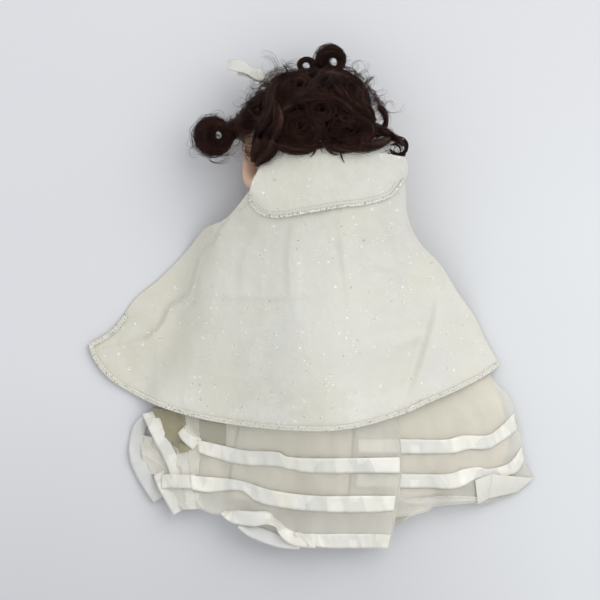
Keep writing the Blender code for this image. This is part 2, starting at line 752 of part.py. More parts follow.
def drape_height(x, y, spans=span_shares, spreads=((0, 1), (1, 1))):
    """Height of the drape over its lowest layer: a ridge over the dolls that runs out to the sides."""
    place = -y / skirt_length
    reach = skirt_left if x < 0 else skirt_right
    crest = share_at(crest_shares, place) * crest_height - lining_level
    half_span = share_at(spans, place) * reach
    edge = max(0.0, 1 - (abs(x) / half_span) ** 4)
    spread = share_at(spreads, place) * drape_spread
    return crest / (1 + (x / spread) ** 2) * edge


def ripple(x, y):
    """Soft flutes of the sheer skirt below the cape's hem."""
    start = cape_length - cape_top
    depth = max(0.0, (-y - start) / (skirt_length - start))
    return ripple_height * min(1.0, depth) * (0.5 + 0.5 * math.cos(2 * math.pi * x / ripple_length))


def distance_to_segment(point, first, last):
    span = last - first
    share = max(0.0, min(1.0, (point - first).dot(span) / span.length_squared))
    return (point - first - span * share).length


def cape_folds(x, y):
    point = Vector((x, y))
    height = 0.0
    for first, last, height_share, width_share in fold_shares:
        ends = [Vector((fx * cape_width, cape_top - fy * cape_length)) for fx, fy in (first, last)]
        away = distance_to_segment(point, *ends) / (fold_width * width_share)
        height = max(height, fold_height * height_share * math.exp(-away ** 2))
    return height


def front_rise(x, y):
    """The front panels climb from the floor to the waistband."""
    width, depth = body_size(waistband_half_height / body_end)
    top = axis_height - depth - 4 * gap - bodice_wall - waistband_wall - front_stack - gap
    share = share_at(front_rise_shares, -y / skirt_length)
    return top * share / (1 + (x / (2 * width)) ** 2)


def outline_prism(name, outline):
    """The upright prism over an outline, as a filled flat curve with an extrude."""
    curve = bpy.data.curves.new(name, "CURVE")
    curve.dimensions = "2D"
    curve.fill_mode = "BOTH"
    curve.extrude = 2 * crest_height
    spline = curve.splines.new("POLY")
    spline.points.add(len(outline) - 1)
    for slot, (x, y) in zip(spline.points, outline):
        slot.co = (x, y, 0, 1)
    spline.use_cyclic_u = True
    source = bpy.data.objects.new(name + "_outline", curve)
    CUTTERS.objects.link(source)
    evaluated = source.evaluated_get(bpy.context.evaluated_depsgraph_get())
    mesh = bpy.data.meshes.new_from_object(evaluated)
    bpy.data.objects.remove(source)
    bm = bmesh.new()
    bm.from_mesh(mesh)
    bmesh.ops.remove_doubles(bm, verts=bm.verts, dist=weld_distance)
    bpy.data.meshes.remove(mesh)
    return make_cutter(name, mesh_from(name, bm))


def make_sheet(name, kind, outline, height, cell=drape_cell):
    """A sheet cut to its outline from a lattice that every sheet shares, so that layers never cross."""
    low_x = math.floor(min(x for x, y in outline) / cell) - 1
    high_x = math.ceil(max(x for x, y in outline) / cell) + 1
    low_y = math.floor(min(y for x, y in outline) / cell) - 1
    high_y = math.ceil(max(y for x, y in outline) / cell) + 1
    bm = bmesh.new()
    rows = []
    for j in range(low_y, high_y + 1):
        row = []
        for i in range(low_x, high_x + 1):
            x, y = i * cell, j * cell
            row.append(bm.verts.new((x, y, height(x, y))))
        rows.append(row)
    for low, high in zip(rows, rows[1:]):
        for i in range(len(low) - 1):
            bm.faces.new((low[i], low[i + 1], high[i + 1]))
            bm.faces.new((low[i], high[i + 1], high[i]))
    raised = bmesh.ops.extrude_face_region(bm, geom=bm.faces[:])
    moved = [item for item in raised["geom"] if isinstance(item, bmesh.types.BMVert)]
    bmesh.ops.translate(bm, vec=(0, 0, cloth_thickness), verts=moved)
    sheet = place_object(name, mesh_from(name, bm), kind)
    add_boolean(sheet, outline_prism(name + "_prism", outline), "INTERSECT")
    return sheet


def skirt_points(shares):
    return [(x * (skirt_left if x < 0 else skirt_right), -y * skirt_length) for x, y in shares]


def lining_points():
    return [(x * (skirt_left if x < 0 else skirt_right), -y * lining_length) for x, y in lining_shares]


def cape_points(shares=cape_shares):
    return [(x * cape_width, cape_top - y * cape_length) for x, y in shares]


def collar_points(shares=collar_shares):
    return [(x * collar_width, collar_top - y * collar_length) for x, y in shares]


def ribbon_outline(shares):
    """A band of the ribbon's width below its upper edge."""
    upper = [Vector(point) for point in skirt_points(shares)]
    lower = []
    for i, point in enumerate(upper):
        ahead = upper[min(i + 1, len(upper) - 1)] - upper[max(i - 1, 0)]
        ahead.normalize()
        lower.append(point + Vector((ahead.y, -ahead.x)) * ribbon_width)
    return [tuple(point) for point in upper + lower[::-1]]


def make_skirt():
    make_sheet("overskirt_left", "organza", skirt_points(left_panel_shares),
               lambda x, y: left_level + drape_height(x, y) + ripple(x, y))
    make_sheet("overskirt_right", "organza", skirt_points(right_panel_shares),
               lambda x, y: right_level + drape_height(x, y) + ripple(x, y))
    make_sheet("overskirt_front", "organza", skirt_points(front_panel_shares),
               lambda x, y: flat_pitch + front_rise(x, y), flat_cell)
    make_sheet("lining_back", "lining", lining_points(),
               lambda x, y: lining_level + drape_height(x, y))
    make_sheet("lining_front", "lining", lining_points(),
               lambda x, y: 2 * flat_pitch + front_rise(x, y), flat_cell)


def make_ribbons():
    for row, shares in enumerate(left_row_shares, 1):
        make_sheet(f"ribbon_left_{row}", "ribbon", ribbon_outline(shares),
                   lambda x, y: ribbon_level + drape_height(x, y) + ripple(x, y))
    for row, shares in enumerate(right_row_shares, 1):
        make_sheet(f"ribbon_right_{row}", "ribbon", ribbon_outline(shares),
                   lambda x, y: left_level + drape_height(x, y) + ripple(x, y))
    for row, shares in enumerate(front_row_shares, 1):
        make_sheet(f"ribbon_front_{row}", "ribbon", ribbon_outline(shares), front_rise, flat_cell)


def cape_height(x, y):
    return cape_level + drape_height(x, y, cape_span_shares, cape_spread_shares) + cape_folds(x, y)


def make_cape():
    make_sheet("cape", "cape", cape_points(), cape_height)
    make_sheet("collar", "cape", collar_points(), lambda x, y: cape_height(x, y) + drape_pitch)


def spaced(points, step):
    """Points along straight lines, no further apart than a step."""
    path = []
    for first, last in zip(points, points[1:]):
        first, last = Vector(first), Vector(last)
        count = max(1, math.ceil((last - first).length / step))
        path += [first + (last - first) * i / count for i in range(count)]
    path.append(Vector(points[-1]))
    return path


def outward(points, distance):
    """Move an outline's points outwards, square to it. The outline runs left, down, right."""
    moved = []
    for i, point in enumerate(points):
        before = Vector(point) - Vector(points[i - 1]) if i else Vector(points[1]) - Vector(points[0])
        after = Vector(points[i + 1]) - Vector(point) if i + 1 < len(points) else before
        normal = before.normalized() + after.normalized()
        normal.normalize()
        square = Vector((normal.y, -normal.x))
        stretch = 1 / max(0.5, square.dot(Vector((before.y, -before.x)).normalized()))
        moved.append(Vector(point) + square * distance * stretch)
    return moved


def make_braid(name, points, height):
    """A braid just outside the cloth's edge."""
    edge = outward(points, braid_radius + gap)
    path = [(p.x, p.y, height(p.x, p.y) + braid_radius) for p in spaced(edge, braid_step)]
    return tube(name, "braid", path, braid_radius)


def make_braids():
    make_braid("cape_braid", cape_points(cape_hem_shares), cape_height)
    make_braid("collar_braid", collar_points(collar_hem_shares),
               lambda x, y: cape_height(x, y) + cloth_thickness + 2 * gap)


def make_doll():
    for which, sign, carrier in (("upper", 1, UPPER_NECK), ("lower", -1, LOWER_NECK)):
        make_head(which, sign, carrier)
        make_neck_button(which, sign, carrier)
        shells = [make_body_shell(which, sign, side) for side in ("front", "back")]
        cut_body_holes(shells, which, sign)
        make_bodice(which, sign)
        make_arm_elastic(which, sign)
    for name, carrier in SHOULDERS.items():
        which, hand = name.split("_")
        sign = 1 if which == "upper" else -1
        side = -1 if hand == "left" else 1
        pose = {"upper_left": raised_shares, "upper_right": hanging_shares}.get(name, lifted_shares)
        make_arm(name + "_arm", carrier, sign, side, pose)
        make_shoulder_button(name + "_button", carrier, sign, side)
    make_neck_elastic()
    make_waist_sleeve()
    make_waistband()
    make_cap("upper_wig_cap", 1, UPPER_NECK, upper_cap_share * math.pi, cap_tilt_share * math.pi)
    make_cap("lower_wig_cap", -1, LOWER_NECK, lower_cap_share * math.pi, cap_tilt_share * math.pi)
    make_rolls()
    make_curls()
    make_hair_bow()
    make_skirt()
    make_ribbons()
    make_cape()
    make_braids()


make_doll()
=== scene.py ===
"""Looks of a topsy turvy doll: its wig, cape, collar and ribboned sheer skirt, and the doll under the skirt.

The doll lies face down. Places on it are read from the photograph's pixels, from the waist
outwards, and every sheet of cloth takes its height from the solids that it lies on.
"""

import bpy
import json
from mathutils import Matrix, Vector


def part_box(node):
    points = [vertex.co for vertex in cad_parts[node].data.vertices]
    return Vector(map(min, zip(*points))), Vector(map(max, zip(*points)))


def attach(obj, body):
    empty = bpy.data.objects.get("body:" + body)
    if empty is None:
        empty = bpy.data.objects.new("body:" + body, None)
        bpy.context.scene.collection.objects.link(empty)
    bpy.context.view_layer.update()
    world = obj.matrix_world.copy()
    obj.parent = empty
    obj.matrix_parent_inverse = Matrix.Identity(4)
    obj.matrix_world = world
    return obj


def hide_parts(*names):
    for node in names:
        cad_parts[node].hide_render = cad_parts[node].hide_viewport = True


bl_info = {
    "name": "Topsy Turvy Doll",
    "version": (1, 0, 0),
    "blender": (4, 5, 0),
    "location": "3D View > Sidebar > Doll",
    "description": "Dresses a topsy turvy doll in its wig, cape, collar and ribboned skirt",
    "category": "Object",
}

import json
import math

import bmesh
import bpy
import numpy as np
from bpy.props import FloatProperty, FloatVectorProperty, IntProperty, PointerProperty
from mathutils import Vector, noise
from mathutils.bvhtree import BVHTree

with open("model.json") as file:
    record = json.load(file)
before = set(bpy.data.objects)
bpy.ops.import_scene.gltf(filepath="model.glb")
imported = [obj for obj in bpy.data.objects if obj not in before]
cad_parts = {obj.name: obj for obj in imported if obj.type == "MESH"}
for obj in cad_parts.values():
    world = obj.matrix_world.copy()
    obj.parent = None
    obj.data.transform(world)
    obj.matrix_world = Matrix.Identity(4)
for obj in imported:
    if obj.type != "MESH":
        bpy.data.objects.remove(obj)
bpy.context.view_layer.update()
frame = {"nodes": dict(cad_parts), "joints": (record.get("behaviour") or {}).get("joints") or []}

mm = 0.001

# The photograph's scale, and the pixel at which the doll's waist lies
pixel = 0.663 * mm
waist_pixel = (322, 240)
picture_side = 600
# A pixel has the photograph's scale at this height, and the camera is this much higher
sharp_height = 25 * mm
camera_distance = 2210 * mm


def joint_place(name):
    return Vector(next(joint["pos_m"] for joint in frame["joints"] if joint["name"] == name))


upper_neck = joint_place("upper_neck")
lower_neck = joint_place("lower_neck")
waist = (upper_neck + lower_neck) / 2

# Heights of the skirt's layers over the lining, and of the cape over the skirt
lining_lift = 0.0
right_lift = 1.5 * mm
left_lift = 3.0 * mm
ribbon_lift = 0.5 * mm
top_lift = left_lift + ribbon_lift
cape_clearance = 1.0 * mm
collar_lift = 1.6 * mm
floor_drop = 0.3 * mm

# Cape: left edge, right edge, hem and neck line, in pixels of the photograph
cape_left_pixels = ((266, 166), (258, 180), (249, 193), (227, 218), (204, 229), (183, 253), (156, 280),
                    (133, 299), (111, 329), (86, 345))
cape_right_pixels = ((396, 166), (404, 185), (407, 216), (419, 242), (442, 266), (458, 291), (476, 316),
                     (487, 339), (502, 366))
cape_neck_pixels = ((266, 166), (300, 160), (350, 159), (396, 166))
cape_hem_pixels = ((86, 345), (93, 362), (105, 377), (123, 390), (156, 406), (202, 419), (250, 426),
                   (300, 429), (350, 427), (401, 414), (427, 403), (454, 392), (485, 377), (502, 366))

# Folds of the cape: a line in pixels, then its height, its steep side's width and its gentle side's width
cape_folds = (
    (((238, 214), (222, 229), (214, 246), (201, 256), (195, 276), (188, 296), (169, 309), (162, 324),
      (146, 339), (119, 345)), 4.2 * mm, 1.1 * mm, 26 * mm),
    (((441, 296), (434, 328), (425, 358), (418, 380), (409, 405)), 3.8 * mm, 3.4 * mm, 18 * mm),
    (((424, 334), (410, 338), (394, 343)), 1.4 * mm, 2.0 * mm, 5 * mm),
    (((416, 333), (390, 338), (357, 349)), 1.2 * mm, 2.5 * mm, 9 * mm),
    (((206, 262), (200, 285), (197, 304), (180, 322)), 1.2 * mm, 2.0 * mm, 6 * mm),
    (((150, 312), (131, 330), (112, 352)), 1.0 * mm, 2.5 * mm, 7 * mm),
    (((200, 294), (250, 297), (300, 296), (332, 291)), 0.7 * mm, 2.0 * mm, 8 * mm),
    (((296, 222), (290, 250), (291, 300)), 0.9 * mm, 2.5 * mm, 6 * mm),
    (((341, 218), (343, 250), (349, 300), (347, 340)), 1.1 * mm, 2.5 * mm, 9 * mm),
    (((382, 213), (398, 250), (402, 300)), 1.0 * mm, 3.0 * mm, 9 * mm),
    (((262, 222), (246, 260), (243, 300)), 0.8 * mm, 3.0 * mm, 9 * mm),
    (((372, 262), (384, 268), (396, 266)), 0.7 * mm, 2.0 * mm, 5 * mm),
    (((448, 330), (462, 352), (470, 372)), 0.7 * mm, 2.0 * mm, 6 * mm),
)

# Collar: the same edges
collar_left_pixels = ((282, 146), (276, 155), (264, 163), (257, 174), (252, 184), (249, 196))
collar_right_pixels = ((404, 158), (407, 166), (407, 174), (404, 181))
collar_neck_pixels = ((282, 146), (300, 149), (350, 150), (404, 158))
collar_hem_pixels = ((249, 196), (250, 204), (258, 214), (268, 218), (280, 219), (311, 214), (340, 209),
                     (365, 206), (390, 198), (404, 181))

# Skirt: each panel's sides, waist line and hem
left_panel_pixels = (
    ((300, 250), (322, 249), (345, 250)),
    ((197, 508), (211, 514), (227, 518), (249, 531), (263, 541), (277, 547), (309, 548), (350, 549),
     (389, 549)),
    ((300, 250), (236, 282), (194, 334), (184, 385), (186, 430), (190, 476), (197, 508)),
    ((345, 250), (371, 300), (391, 380), (401, 452), (399, 495), (389, 549)),
)
right_panel_pixels = (
    ((312, 250), (330, 249), (346, 251)),
    ((352, 512), (380, 516), (397, 517), (426, 513), (437, 507), (473, 504), (485, 506), (504, 499),
     (519, 494), (536, 480)),
    ((312, 250), (338, 330), (350, 400), (357, 450), (352, 512)),
    ((346, 251), (400, 268), (440, 300), (470, 335), (493, 377), (511, 397), (516, 414), (521, 430),
     (525, 446), (527, 462), (536, 480)),
)
lining_pixels = (
    ((294, 252), (322, 250), (350, 252)),
    ((186, 478), (205, 492), (262, 503), (345, 504), (402, 501), (460, 490), (505, 466)),
    ((294, 252), (240, 280), (202, 330), (188, 385), (184, 430), (186, 478)),
    ((350, 252), (400, 276), (440, 308), (468, 342), (488, 376), (501, 396), (508, 420), (511, 444),
     (505, 466)),
)
front_panel_pixels = (
    ((302, 252), (322, 251), (342, 252)),
    ((204, 500), (232, 517), (262, 531), (300, 538), (345, 540), (385, 536), (430, 503), (470, 496),
     (500, 488)),
    ((302, 252), (246, 290), (206, 340), (192, 400), (194, 450), (204, 500)),
    ((342, 252), (398, 290), (440, 330), (470, 375), (492, 420), (504, 456), (500, 488)),
)
front_lining_pixels = (
    ((304, 254), (322, 253), (340, 254)),
    ((190, 462), (226, 484), (290, 492), (350, 493), (420, 486), (484, 462)),
    ((304, 254), (246, 290), (204, 340), (188, 400), (190, 462)),
    ((340, 254), (396, 290), (440, 336), (470, 392), (484, 462)),
)
# Heights of the front's layers over the floor
front_level = 1.1 * mm
front_lining_level = 2.2 * mm
front_ribbon_level = 0.3 * mm

# Ribbon rows: upper edge and lower edge
left_rows = (
    (((197, 440), (220, 445), (245, 450), (277, 451), (290, 456), (334, 457), (400, 457)),
     ((198, 453), (227, 462), (245, 465), (277, 466), (291, 469), (316, 472), (400, 473))),
    (((190, 476), (227, 479), (245, 482), (272, 490), (313, 495), (396, 496)),
     ((191, 490), (209, 493), (240, 491), (256, 502), (281, 508), (311, 511), (366, 513), (394, 511))),
    (((293, 534), (330, 534), (391, 535)),
     ((306, 546), (340, 549), (388, 549))),
)
right_rows = (
    (((357, 438), (404, 439), (444, 440), (464, 436), (488, 436), (500, 429), (516, 414)),
     ((358, 452), (412, 454), (450, 454), (470, 450), (489, 450), (502, 443), (520, 431))),
    (((357, 473), (399, 474), (444, 475), (464, 470), (479, 468), (491, 470), (511, 464), (524, 448)),
     ((356, 487), (397, 488), (430, 489), (457, 489), (479, 480), (497, 480), (517, 475), (527, 462))),
    (((366, 494), (399, 495), (414, 499), (449, 497), (473, 498), (483, 500)),
     ((366, 501), (399, 503), (420, 506), (449, 503), (473, 503), (484, 505))),
)
front_rows = (
    (((196, 440), (250, 452), (322, 456), (400, 452), (494, 436)),
     ((197, 454), (250, 466), (322, 470), (400, 466), (497, 450))),
    (((200, 470), (250, 484), (322, 490), (400, 486), (500, 464)),
     ((203, 484), (250, 498), (322, 504), (400, 500), (501, 478))),
    (((228, 506), (262, 514), (322, 521), (380, 519), (420, 504)),
     ((236, 516), (262, 525), (322, 533), (382, 531), (428, 512))),
)

# Bunched left end: ribbon loops as (pixel x, pixel y, height over the skirt and half width in mm, tilt in
# degrees)
bunch_ribbons = {
    "bunch_ribbon_1": ((148, 413, 1.6, 5.0, 16), (152, 422, 2.4, 5.0, -6), (159, 437, 3.0, 4.8, 14),
                       (166, 451, 2.8, 4.5, -14), (172, 463, 2.8, 4.4, 10), (177, 478, 2.6, 4.2, -6)),
    "bunch_ribbon_2": ((147, 418, 0.6, 4.0, 40), (139, 428, 0.9, 4.6, 18), (135, 441, 1.0, 4.9, -8),
                       (135, 456, 1.0, 5.0, 12), (140, 472, 1.2, 5.0, -10), (149, 487, 1.2, 4.9, 8),
                       (158, 501, 1.0, 4.7, -4)),
    "bunch_ribbon_3": ((158, 474, 1.6, 4.6, -14), (164, 486, 1.8, 5.0, 8), (171, 499, 1.8, 5.0, -8),
                       (179, 513, 1.6, 4.8, 6)),
    "bunch_ribbon_4": ((161, 483, 3.6, 4.5, 10), (170, 482, 4.0, 4.8, -8), (181, 482, 4.0, 4.7, 6),
                       (195, 482, 3.8, 4.6, -4)),
    "bunch_ribbon_5": ((182, 429, 2.6, 4.4, -18), (188, 437, 3.4, 4.8, 12), (197, 445, 3.6, 4.6, -8)),
}
# Its sheer facets: four corners (pixel x, pixel y, height over the skirt), from the top left and round.
# The shaded ones turn away from the light, and their dark colour is painted shade.
shaded_facets = {
    "bunch_fold_1": ((150, 408, 1.0), (184, 412, 1.4), (184, 455, 1.0), (162, 437, 0.8)),
    "bunch_fold_2": ((180, 414, 1.6), (201, 418, 1.8), (197, 437, 1.8), (183, 430, 1.6)),
    "bunch_fold_3": ((179, 443, 2.8), (193, 447, 3.0), (188, 452, 3.0), (178, 454, 2.8)),
}
# A sheer patch at the left panel's end, painted darker as shade under the cape's hem
shaded_end_patches = {"shaded_end_patch": ((199, 420, 0.3), (226, 424, 0.3), (226, 446, 0.2), (200, 441, 0.2))}
pale_facets = {
    "bunch_fold_4": ((138, 436, 0.2), (164, 440, 0.6), (176, 482, 0.8), (142, 474, 0.2)),
    "bunch_fold_5": ((176, 452, 1.2), (200, 444, 2.8), (198, 480, 2.8), (174, 486, 1.2)),
    "bunch_fold_6": ((162, 480, 0.6), (196, 484, 2.2), (205, 510, 2.2), (180, 511, 0.6)),
    "bunch_fold_7": ((160, 408, 0.3), (206, 414, 0.6), (200, 470, 0.6), (172, 476, 0.3)),
}
# The twisted end of the left panel's lowest ribbon: the same way, with heights over the panel's ribbons
twist_ribbons = {
    "twist_ribbon": ((222, 513, 1, 2.2, 60), (230, 516, 2, 3.8, 20), (240, 518, 3, 4.9, -8),
                     (254, 519, 3, 5.0, 6), (266, 518, 3, 4.8, 24), (276, 523, 3, 4.6, 62),
                     (282, 530, 2, 4.4, 40), (292, 538, 1, 4.6, 8), (302, 541, 1, 4.9, 0),
                     (316, 541, 1, 4.8, 0)),
    "twist_ribbon_back": ((240, 524, 1, 3.6, 30), (252, 531, 1, 4.4, 8), (268, 538, 1, 4.6, -6),
                          (284, 543, 1, 4.2, 4), (300, 545, 1, 3.4, 0)),
}
# The folded right corner: facets with heights over the right panel's ribbons
right_flaps = {
    "right_flap": ((476, 481, 0.8), (493, 475, 3.6), (490, 500, 3.2), (479, 506, 0.8)),
    "right_flap_end": ((493, 475, 3.6), (537, 480, 1.0), (519, 494, 0.6), (490, 500, 3.2)),
}

# Hair: the envelope that the locks fill, over the head's centre
head_rise = 36 * mm
head_radius = 26.5 * mm
envelope_across = 53 * mm
envelope_along = 35 * mm
envelope_height = 40 * mm
head_centre = upper_neck + Vector((0, head_rise, 0))

# Barrel curls seen from their ends: centre and radii in pixels, depth under the envelope in mm,
# way round, share of the radius left open, and how many clumps of strands go round
barrel_curls = {
    "low_left": ((303, 128), (23, 19), 3.5, 1, 0.16, 30),
    "low_right": ((351, 129), (27, 19), 4.0, -1, 0.14, 34),
    "middle": ((323, 110), (18, 14), 1.0, 1, 0.16, 22),
    "high_left": ((298, 86), (20, 14), 3.5, -1, 0.18, 24),
    "high_right": ((342, 91), (22, 15), 3.5, 1, 0.14, 26),
    "far_right": ((364, 117), (11, 14), 7.0, -1, 0.20, 16),
    "far_left": ((276, 108), (15, 20), 6.0, 1, 0.16, 20),
}
low_curls = "low_left", "low_right", "middle"
# Other locks: points of (pixel x, pixel y, depth under the envelope in mm), then the radius in mm
locks = {
    "crown_left": (((326, 77, 10), (306, 76, 10), (288, 77, 9), (274, 87, 8), (264, 101, 8)), 4.0),
    "crown_right": (((326, 79, 9), (340, 84, 9), (351, 93, 9), (361, 106, 9), (372, 123, 10)), 4.2),
    "side_left": (((284, 76, 7), (273, 92, 5), (270, 110, 4), (264, 126, 5), (258, 144, 8), (254, 162, 15)),
                  5.0),
    "side_left_low": (((276, 100, 4), (279, 118, 3), (274, 136, 4), (268, 150, 7), (257, 166, 15)), 5.2),
    "outer_left": (((270, 90, 12), (258, 104, 12), (249, 118, 13), (246, 134, 15)), 5.2),
    "to_left_curl": (((262, 108, 10), (252, 116, 14), (243, 122, 18), (232, 128, 23), (227, 134, 26)), 5.8),
    "left_knot": (((228, 139, 26), (234, 131, 22), (241, 125, 18), (250, 121, 13), (262, 118, 9)), 5.6),
    "nape_middle": (((262, 140, 8), (280, 138, 5), (296, 142, 4), (312, 141, 3)), 3.6),
    "crown_sweep_1": (((330, 74, 8), (318, 82, 4), (308, 96, 2), (290, 104, 3), (280, 114, 5)), 3.6),
    "crown_sweep_2": (((330, 74, 8), (336, 86, 3), (348, 100, 2), (362, 108, 4), (376, 120, 8)), 3.6),
    "between": (((298, 103, 2), (314, 98, 0), (332, 99, 0), (350, 108, 1), (362, 116, 4)), 3.2),
    "nape_left": (((270, 142, 7), (286, 147, 4), (304, 148, 3), (324, 144, 3)), 3.6),
    "nape_right": (((322, 143, 3), (338, 147, 3), (358, 147, 4), (378, 144, 7), (392, 137, 10)), 3.6),
    "right_tail": (((372, 124, 9), (384, 132, 10), (395, 138, 10), (403, 146, 10)), 2.6),
}
nape_locks = "side_left_low", "left_knot", "nape_middle", "nape_left", "nape_right", "between", "right_tail"
# Rings of hair: middle, outer radii, middle of the hole and its radius in pixels, height in mm,
# first angle, turns and number of strands
ring_curls = {
    "left_curl": ((214, 136), (19.5, 19.2), (219, 137), 4.4, 32.7, 40, 1.12, 900),
    "top_curl": ((331, 61.5), (15, 14.5), (333, 62), 4.4, 34.7, -60, 1.05, 560),
    "small_curl": ((307, 66), (9.5, 7.2), (306, 66.5), 3.6, 38, -60, 0.95, 200),
    "right_loop": ((376, 121), (12, 18), (375, 121), 9.0, 35, 80, -0.55, 130),
    "low_ring_1": ((398, 147), (10.0, 10.4), (397.5, 147), 7.0, 36, 110, -0.76, 90),
    "low_ring_2": ((394, 152), (7.0, 8.4), (394, 152), 5.8, 36, 130, -0.85, 40),
    "low_ring_3": ((399, 150), (6.0, 10.6), (399, 150), 5.0, 37, 100, -0.8, 40),
}
# Hair bow: ribbons the same way, with heights over the surface that the doll lies on
bow_ribbons = {
    "hair_bow_loop": ((228, 66, 32, 3.4, 22), (235, 66, 33, 4.4, 16), (243, 68, 33.5, 4.2, 20),
                      (250, 72, 34, 3.4, 34), (258, 75, 34, 4.4, 22), (267, 77, 33, 4.2, 28),
                      (275, 81, 32, 3.6, 40)),
    "hair_bow_tail": ((238, 72, 31.5, 3.2, 20), (246, 73, 31.5, 3.6, 28), (255, 76, 31.5, 3.8, 34),
                      (264, 80, 31.5, 3.8, 40), (273, 85, 31.5, 3.4, 46)),
}

# Arms: (across, along, up) from the shoulder, as shares of the arm's length
arm_length = 48 * mm
lower_arm_line = ((0.0, 0.0, 0.0), (0.11, 0.05, -0.06), (0.17, 0.33, -0.14), (0.21, 0.58, -0.19),
                  (0.225, 0.70, -0.205))
arm_shapes = {
    "upper_left_arm": ((0.0, 0.0, 0.0), (0.14, -0.02, -0.06), (0.28, -0.05, -0.16), (0.36, 0.03, -0.25),
                       (0.38, 0.22, -0.33), (0.39, 0.42, -0.41)),
    "upper_right_arm": ((0.0, 0.0, 0.0), (0.14, -0.08, -0.07), (0.24, -0.35, -0.18), (0.32, -0.62, -0.27),
                        (0.36, -0.76, -0.32)),
    "lower_left_arm": lower_arm_line,
    "lower_right_arm": lower_arm_line,
}


def tint(red, green, blue):
    """A colour of the photograph, from 0 to 255, in linear light."""
    return tuple(((part / 255 + 0.055) / 1.055) ** 2.4 for part in (red, green, blue))


def times(color, *factors):
    """A colour made lighter or darker, by one factor or by one for each of its parts."""
    return tuple(np.minimum(1, np.multiply(tuple(color), factors)))


# Lines and grids

def unit(vectors):
    return vectors / np.linalg.norm(vectors, axis=-1, keepdims=True)


def heading_along(line):
    """The direction of a line at each of its points."""
    return unit(np.gradient(line, axis=0))


def distances_along(line):
    """How far along a line each of its points lies."""
    return np.concatenate([[0], np.cumsum(np.linalg.norm(np.diff(line, axis=0), axis=1))])


def run_length(line):
    return float(np.linalg.norm(np.diff(line, axis=0), axis=1).sum())


def read_at(marks, known, values):
    """Rows of values, known at some marks, read at others."""
    return np.stack([np.interp(marks, known, column) for column in values.T], axis=-1)


def smooth_line(points, count, steps=12):
    """Evenly spaced points along a Catmull-Rom curve through the given ones."""
    points = np.asarray(points, float)
    dense = points
    if len(points) > 2:
        padded = np.vstack([2 * points[0] - points[1], points, 2 * points[-1] - points[-2]])
        t = np.linspace(0, 1, steps, endpoint=False)[:, None]
        runs = [0.5 * (2 * b + (c - a) * t + (2 * a - 5 * b + 4 * c - d) * t ** 2
                       + (3 * b - a - 3 * c + d) * t ** 3)
                for a, b, c, d in zip(padded, padded[1:], padded[2:], padded[3:])]
        dense = np.vstack([*runs, points[-1:]])
    along = distances_along(dense)
    return read_at(np.linspace(0, along[-1], count), along, dense)


def from_pixels(pixels):
    """Places on the object, in metres, for places in the photograph."""
    pixels = np.asarray(pixels, float)
    return np.stack([waist.x + (pixels[..., 0] - waist_pixel[0]) * pixel,
                     waist.y + (waist_pixel[1] - pixels[..., 1]) * pixel], axis=-1)


def patch(top, bottom, left, right):
    """A grid of places between four edges. Top and bottom run to the right, left and right run down."""
    s = np.linspace(0, 1, len(top))[None, :, None]
    t = np.linspace(0, 1, len(left))[:, None, None]
    between = (1 - t) * top[None] + t * bottom[None]
    beside = (1 - s) * left[:, None] + s * right[:, None]
    corners = ((1 - s) * (1 - t) * top[0] + s * (1 - t) * top[-1]
               + (1 - s) * t * bottom[0] + s * t * bottom[-1])
    return between + beside - corners


def pixel_patch(top, bottom, left, right, rows, columns):
    """A grid of places between four edges in pixels."""
    edges = [from_pixels(smooth_line(edge, count))
             for edge, count in ((top, columns), (bottom, columns), (left, rows), (right, rows))]
    return patch(*edges)


def smooth_step(low, high, value):
    share = np.clip((value - low) / (high - low), 0, 1)
    return share * share * (3 - 2 * share)


def crumple(x, y, size, seed):
    """Smooth noise over places, from about -1 to 1."""
    places = zip((x / size).ravel(), (y / size).ravel())
    return np.array([noise.noise(Vector((u, v, seed))) for u, v in places]).reshape(x.shape)


def creases(x, y, size, seed):
    """Sharp little ridges between smooth hollows, from about 0 to 1."""
    return np.clip(1 - 2.4 * np.abs(crumple(x, y, size, seed)), 0, 1) ** 2


def small_forms(kind, rows, x, y):
    """The sum of some rows of one kind of noise."""
    return sum(height * mm * kind(x, stretch * y, size * mm, seed) for height, stretch, size, seed in rows)


def line_distance(x, y, line):
    """Signed distance from a line, positive on the left of its run, and how far along it."""
    best = np.full(x.shape, np.inf)
    side = np.ones(x.shape)
    along = np.zeros(x.shape)
    count = len(line) - 1
    for k, (first, last) in enumerate(zip(line, line[1:])):
        run = last - first
        dx, dy = x - first[0], y - first[1]
        share = np.clip((dx * run[0] + dy * run[1]) / (run @ run), 0, 1)
        away = np.hypot(dx - share * run[0], dy - share * run[1])
        nearer = away < best
        best = np.where(nearer, away, best)
        side = np.where(nearer, np.sign(run[0] * dy - run[1] * dx), side)
        along = np.where(nearer, (k + share) / count, along)
    return best * side, along


def fold_height(x, y, pixels, height, steep, gentle):
    """A fold that rises steeply from a groove on the right of its line and runs out gently on the left."""
    away, along = line_distance(x, y, from_pixels(smooth_line(pixels, 24)))
    width = np.where(away < 0, steep, gentle)
    ends = np.sin(math.pi * np.clip(along, 0.02, 0.98)) ** 0.5
    groove = 0.3 * np.exp(-((away + 1.9 * steep) / steep) ** 2)
    return height * (np.exp(-(away / width) ** 2) - groove) * ends


# Heights of cloth over the solids

def blur(heights, spread):
    """Soften a grid of heights by a bell of so many cells."""
    reach = int(3 * spread) + 1
    bell = np.exp(-(np.arange(-reach, reach + 1) / spread) ** 2 / 2)
    bell /= bell.sum()
    padded = np.pad(heights, reach, mode="edge")
    padded = np.apply_along_axis(np.convolve, 0, padded, bell, mode="same")
    padded = np.apply_along_axis(np.convolve, 1, padded, bell, mode="same")
    return padded[reach:-reach, reach:-reach]


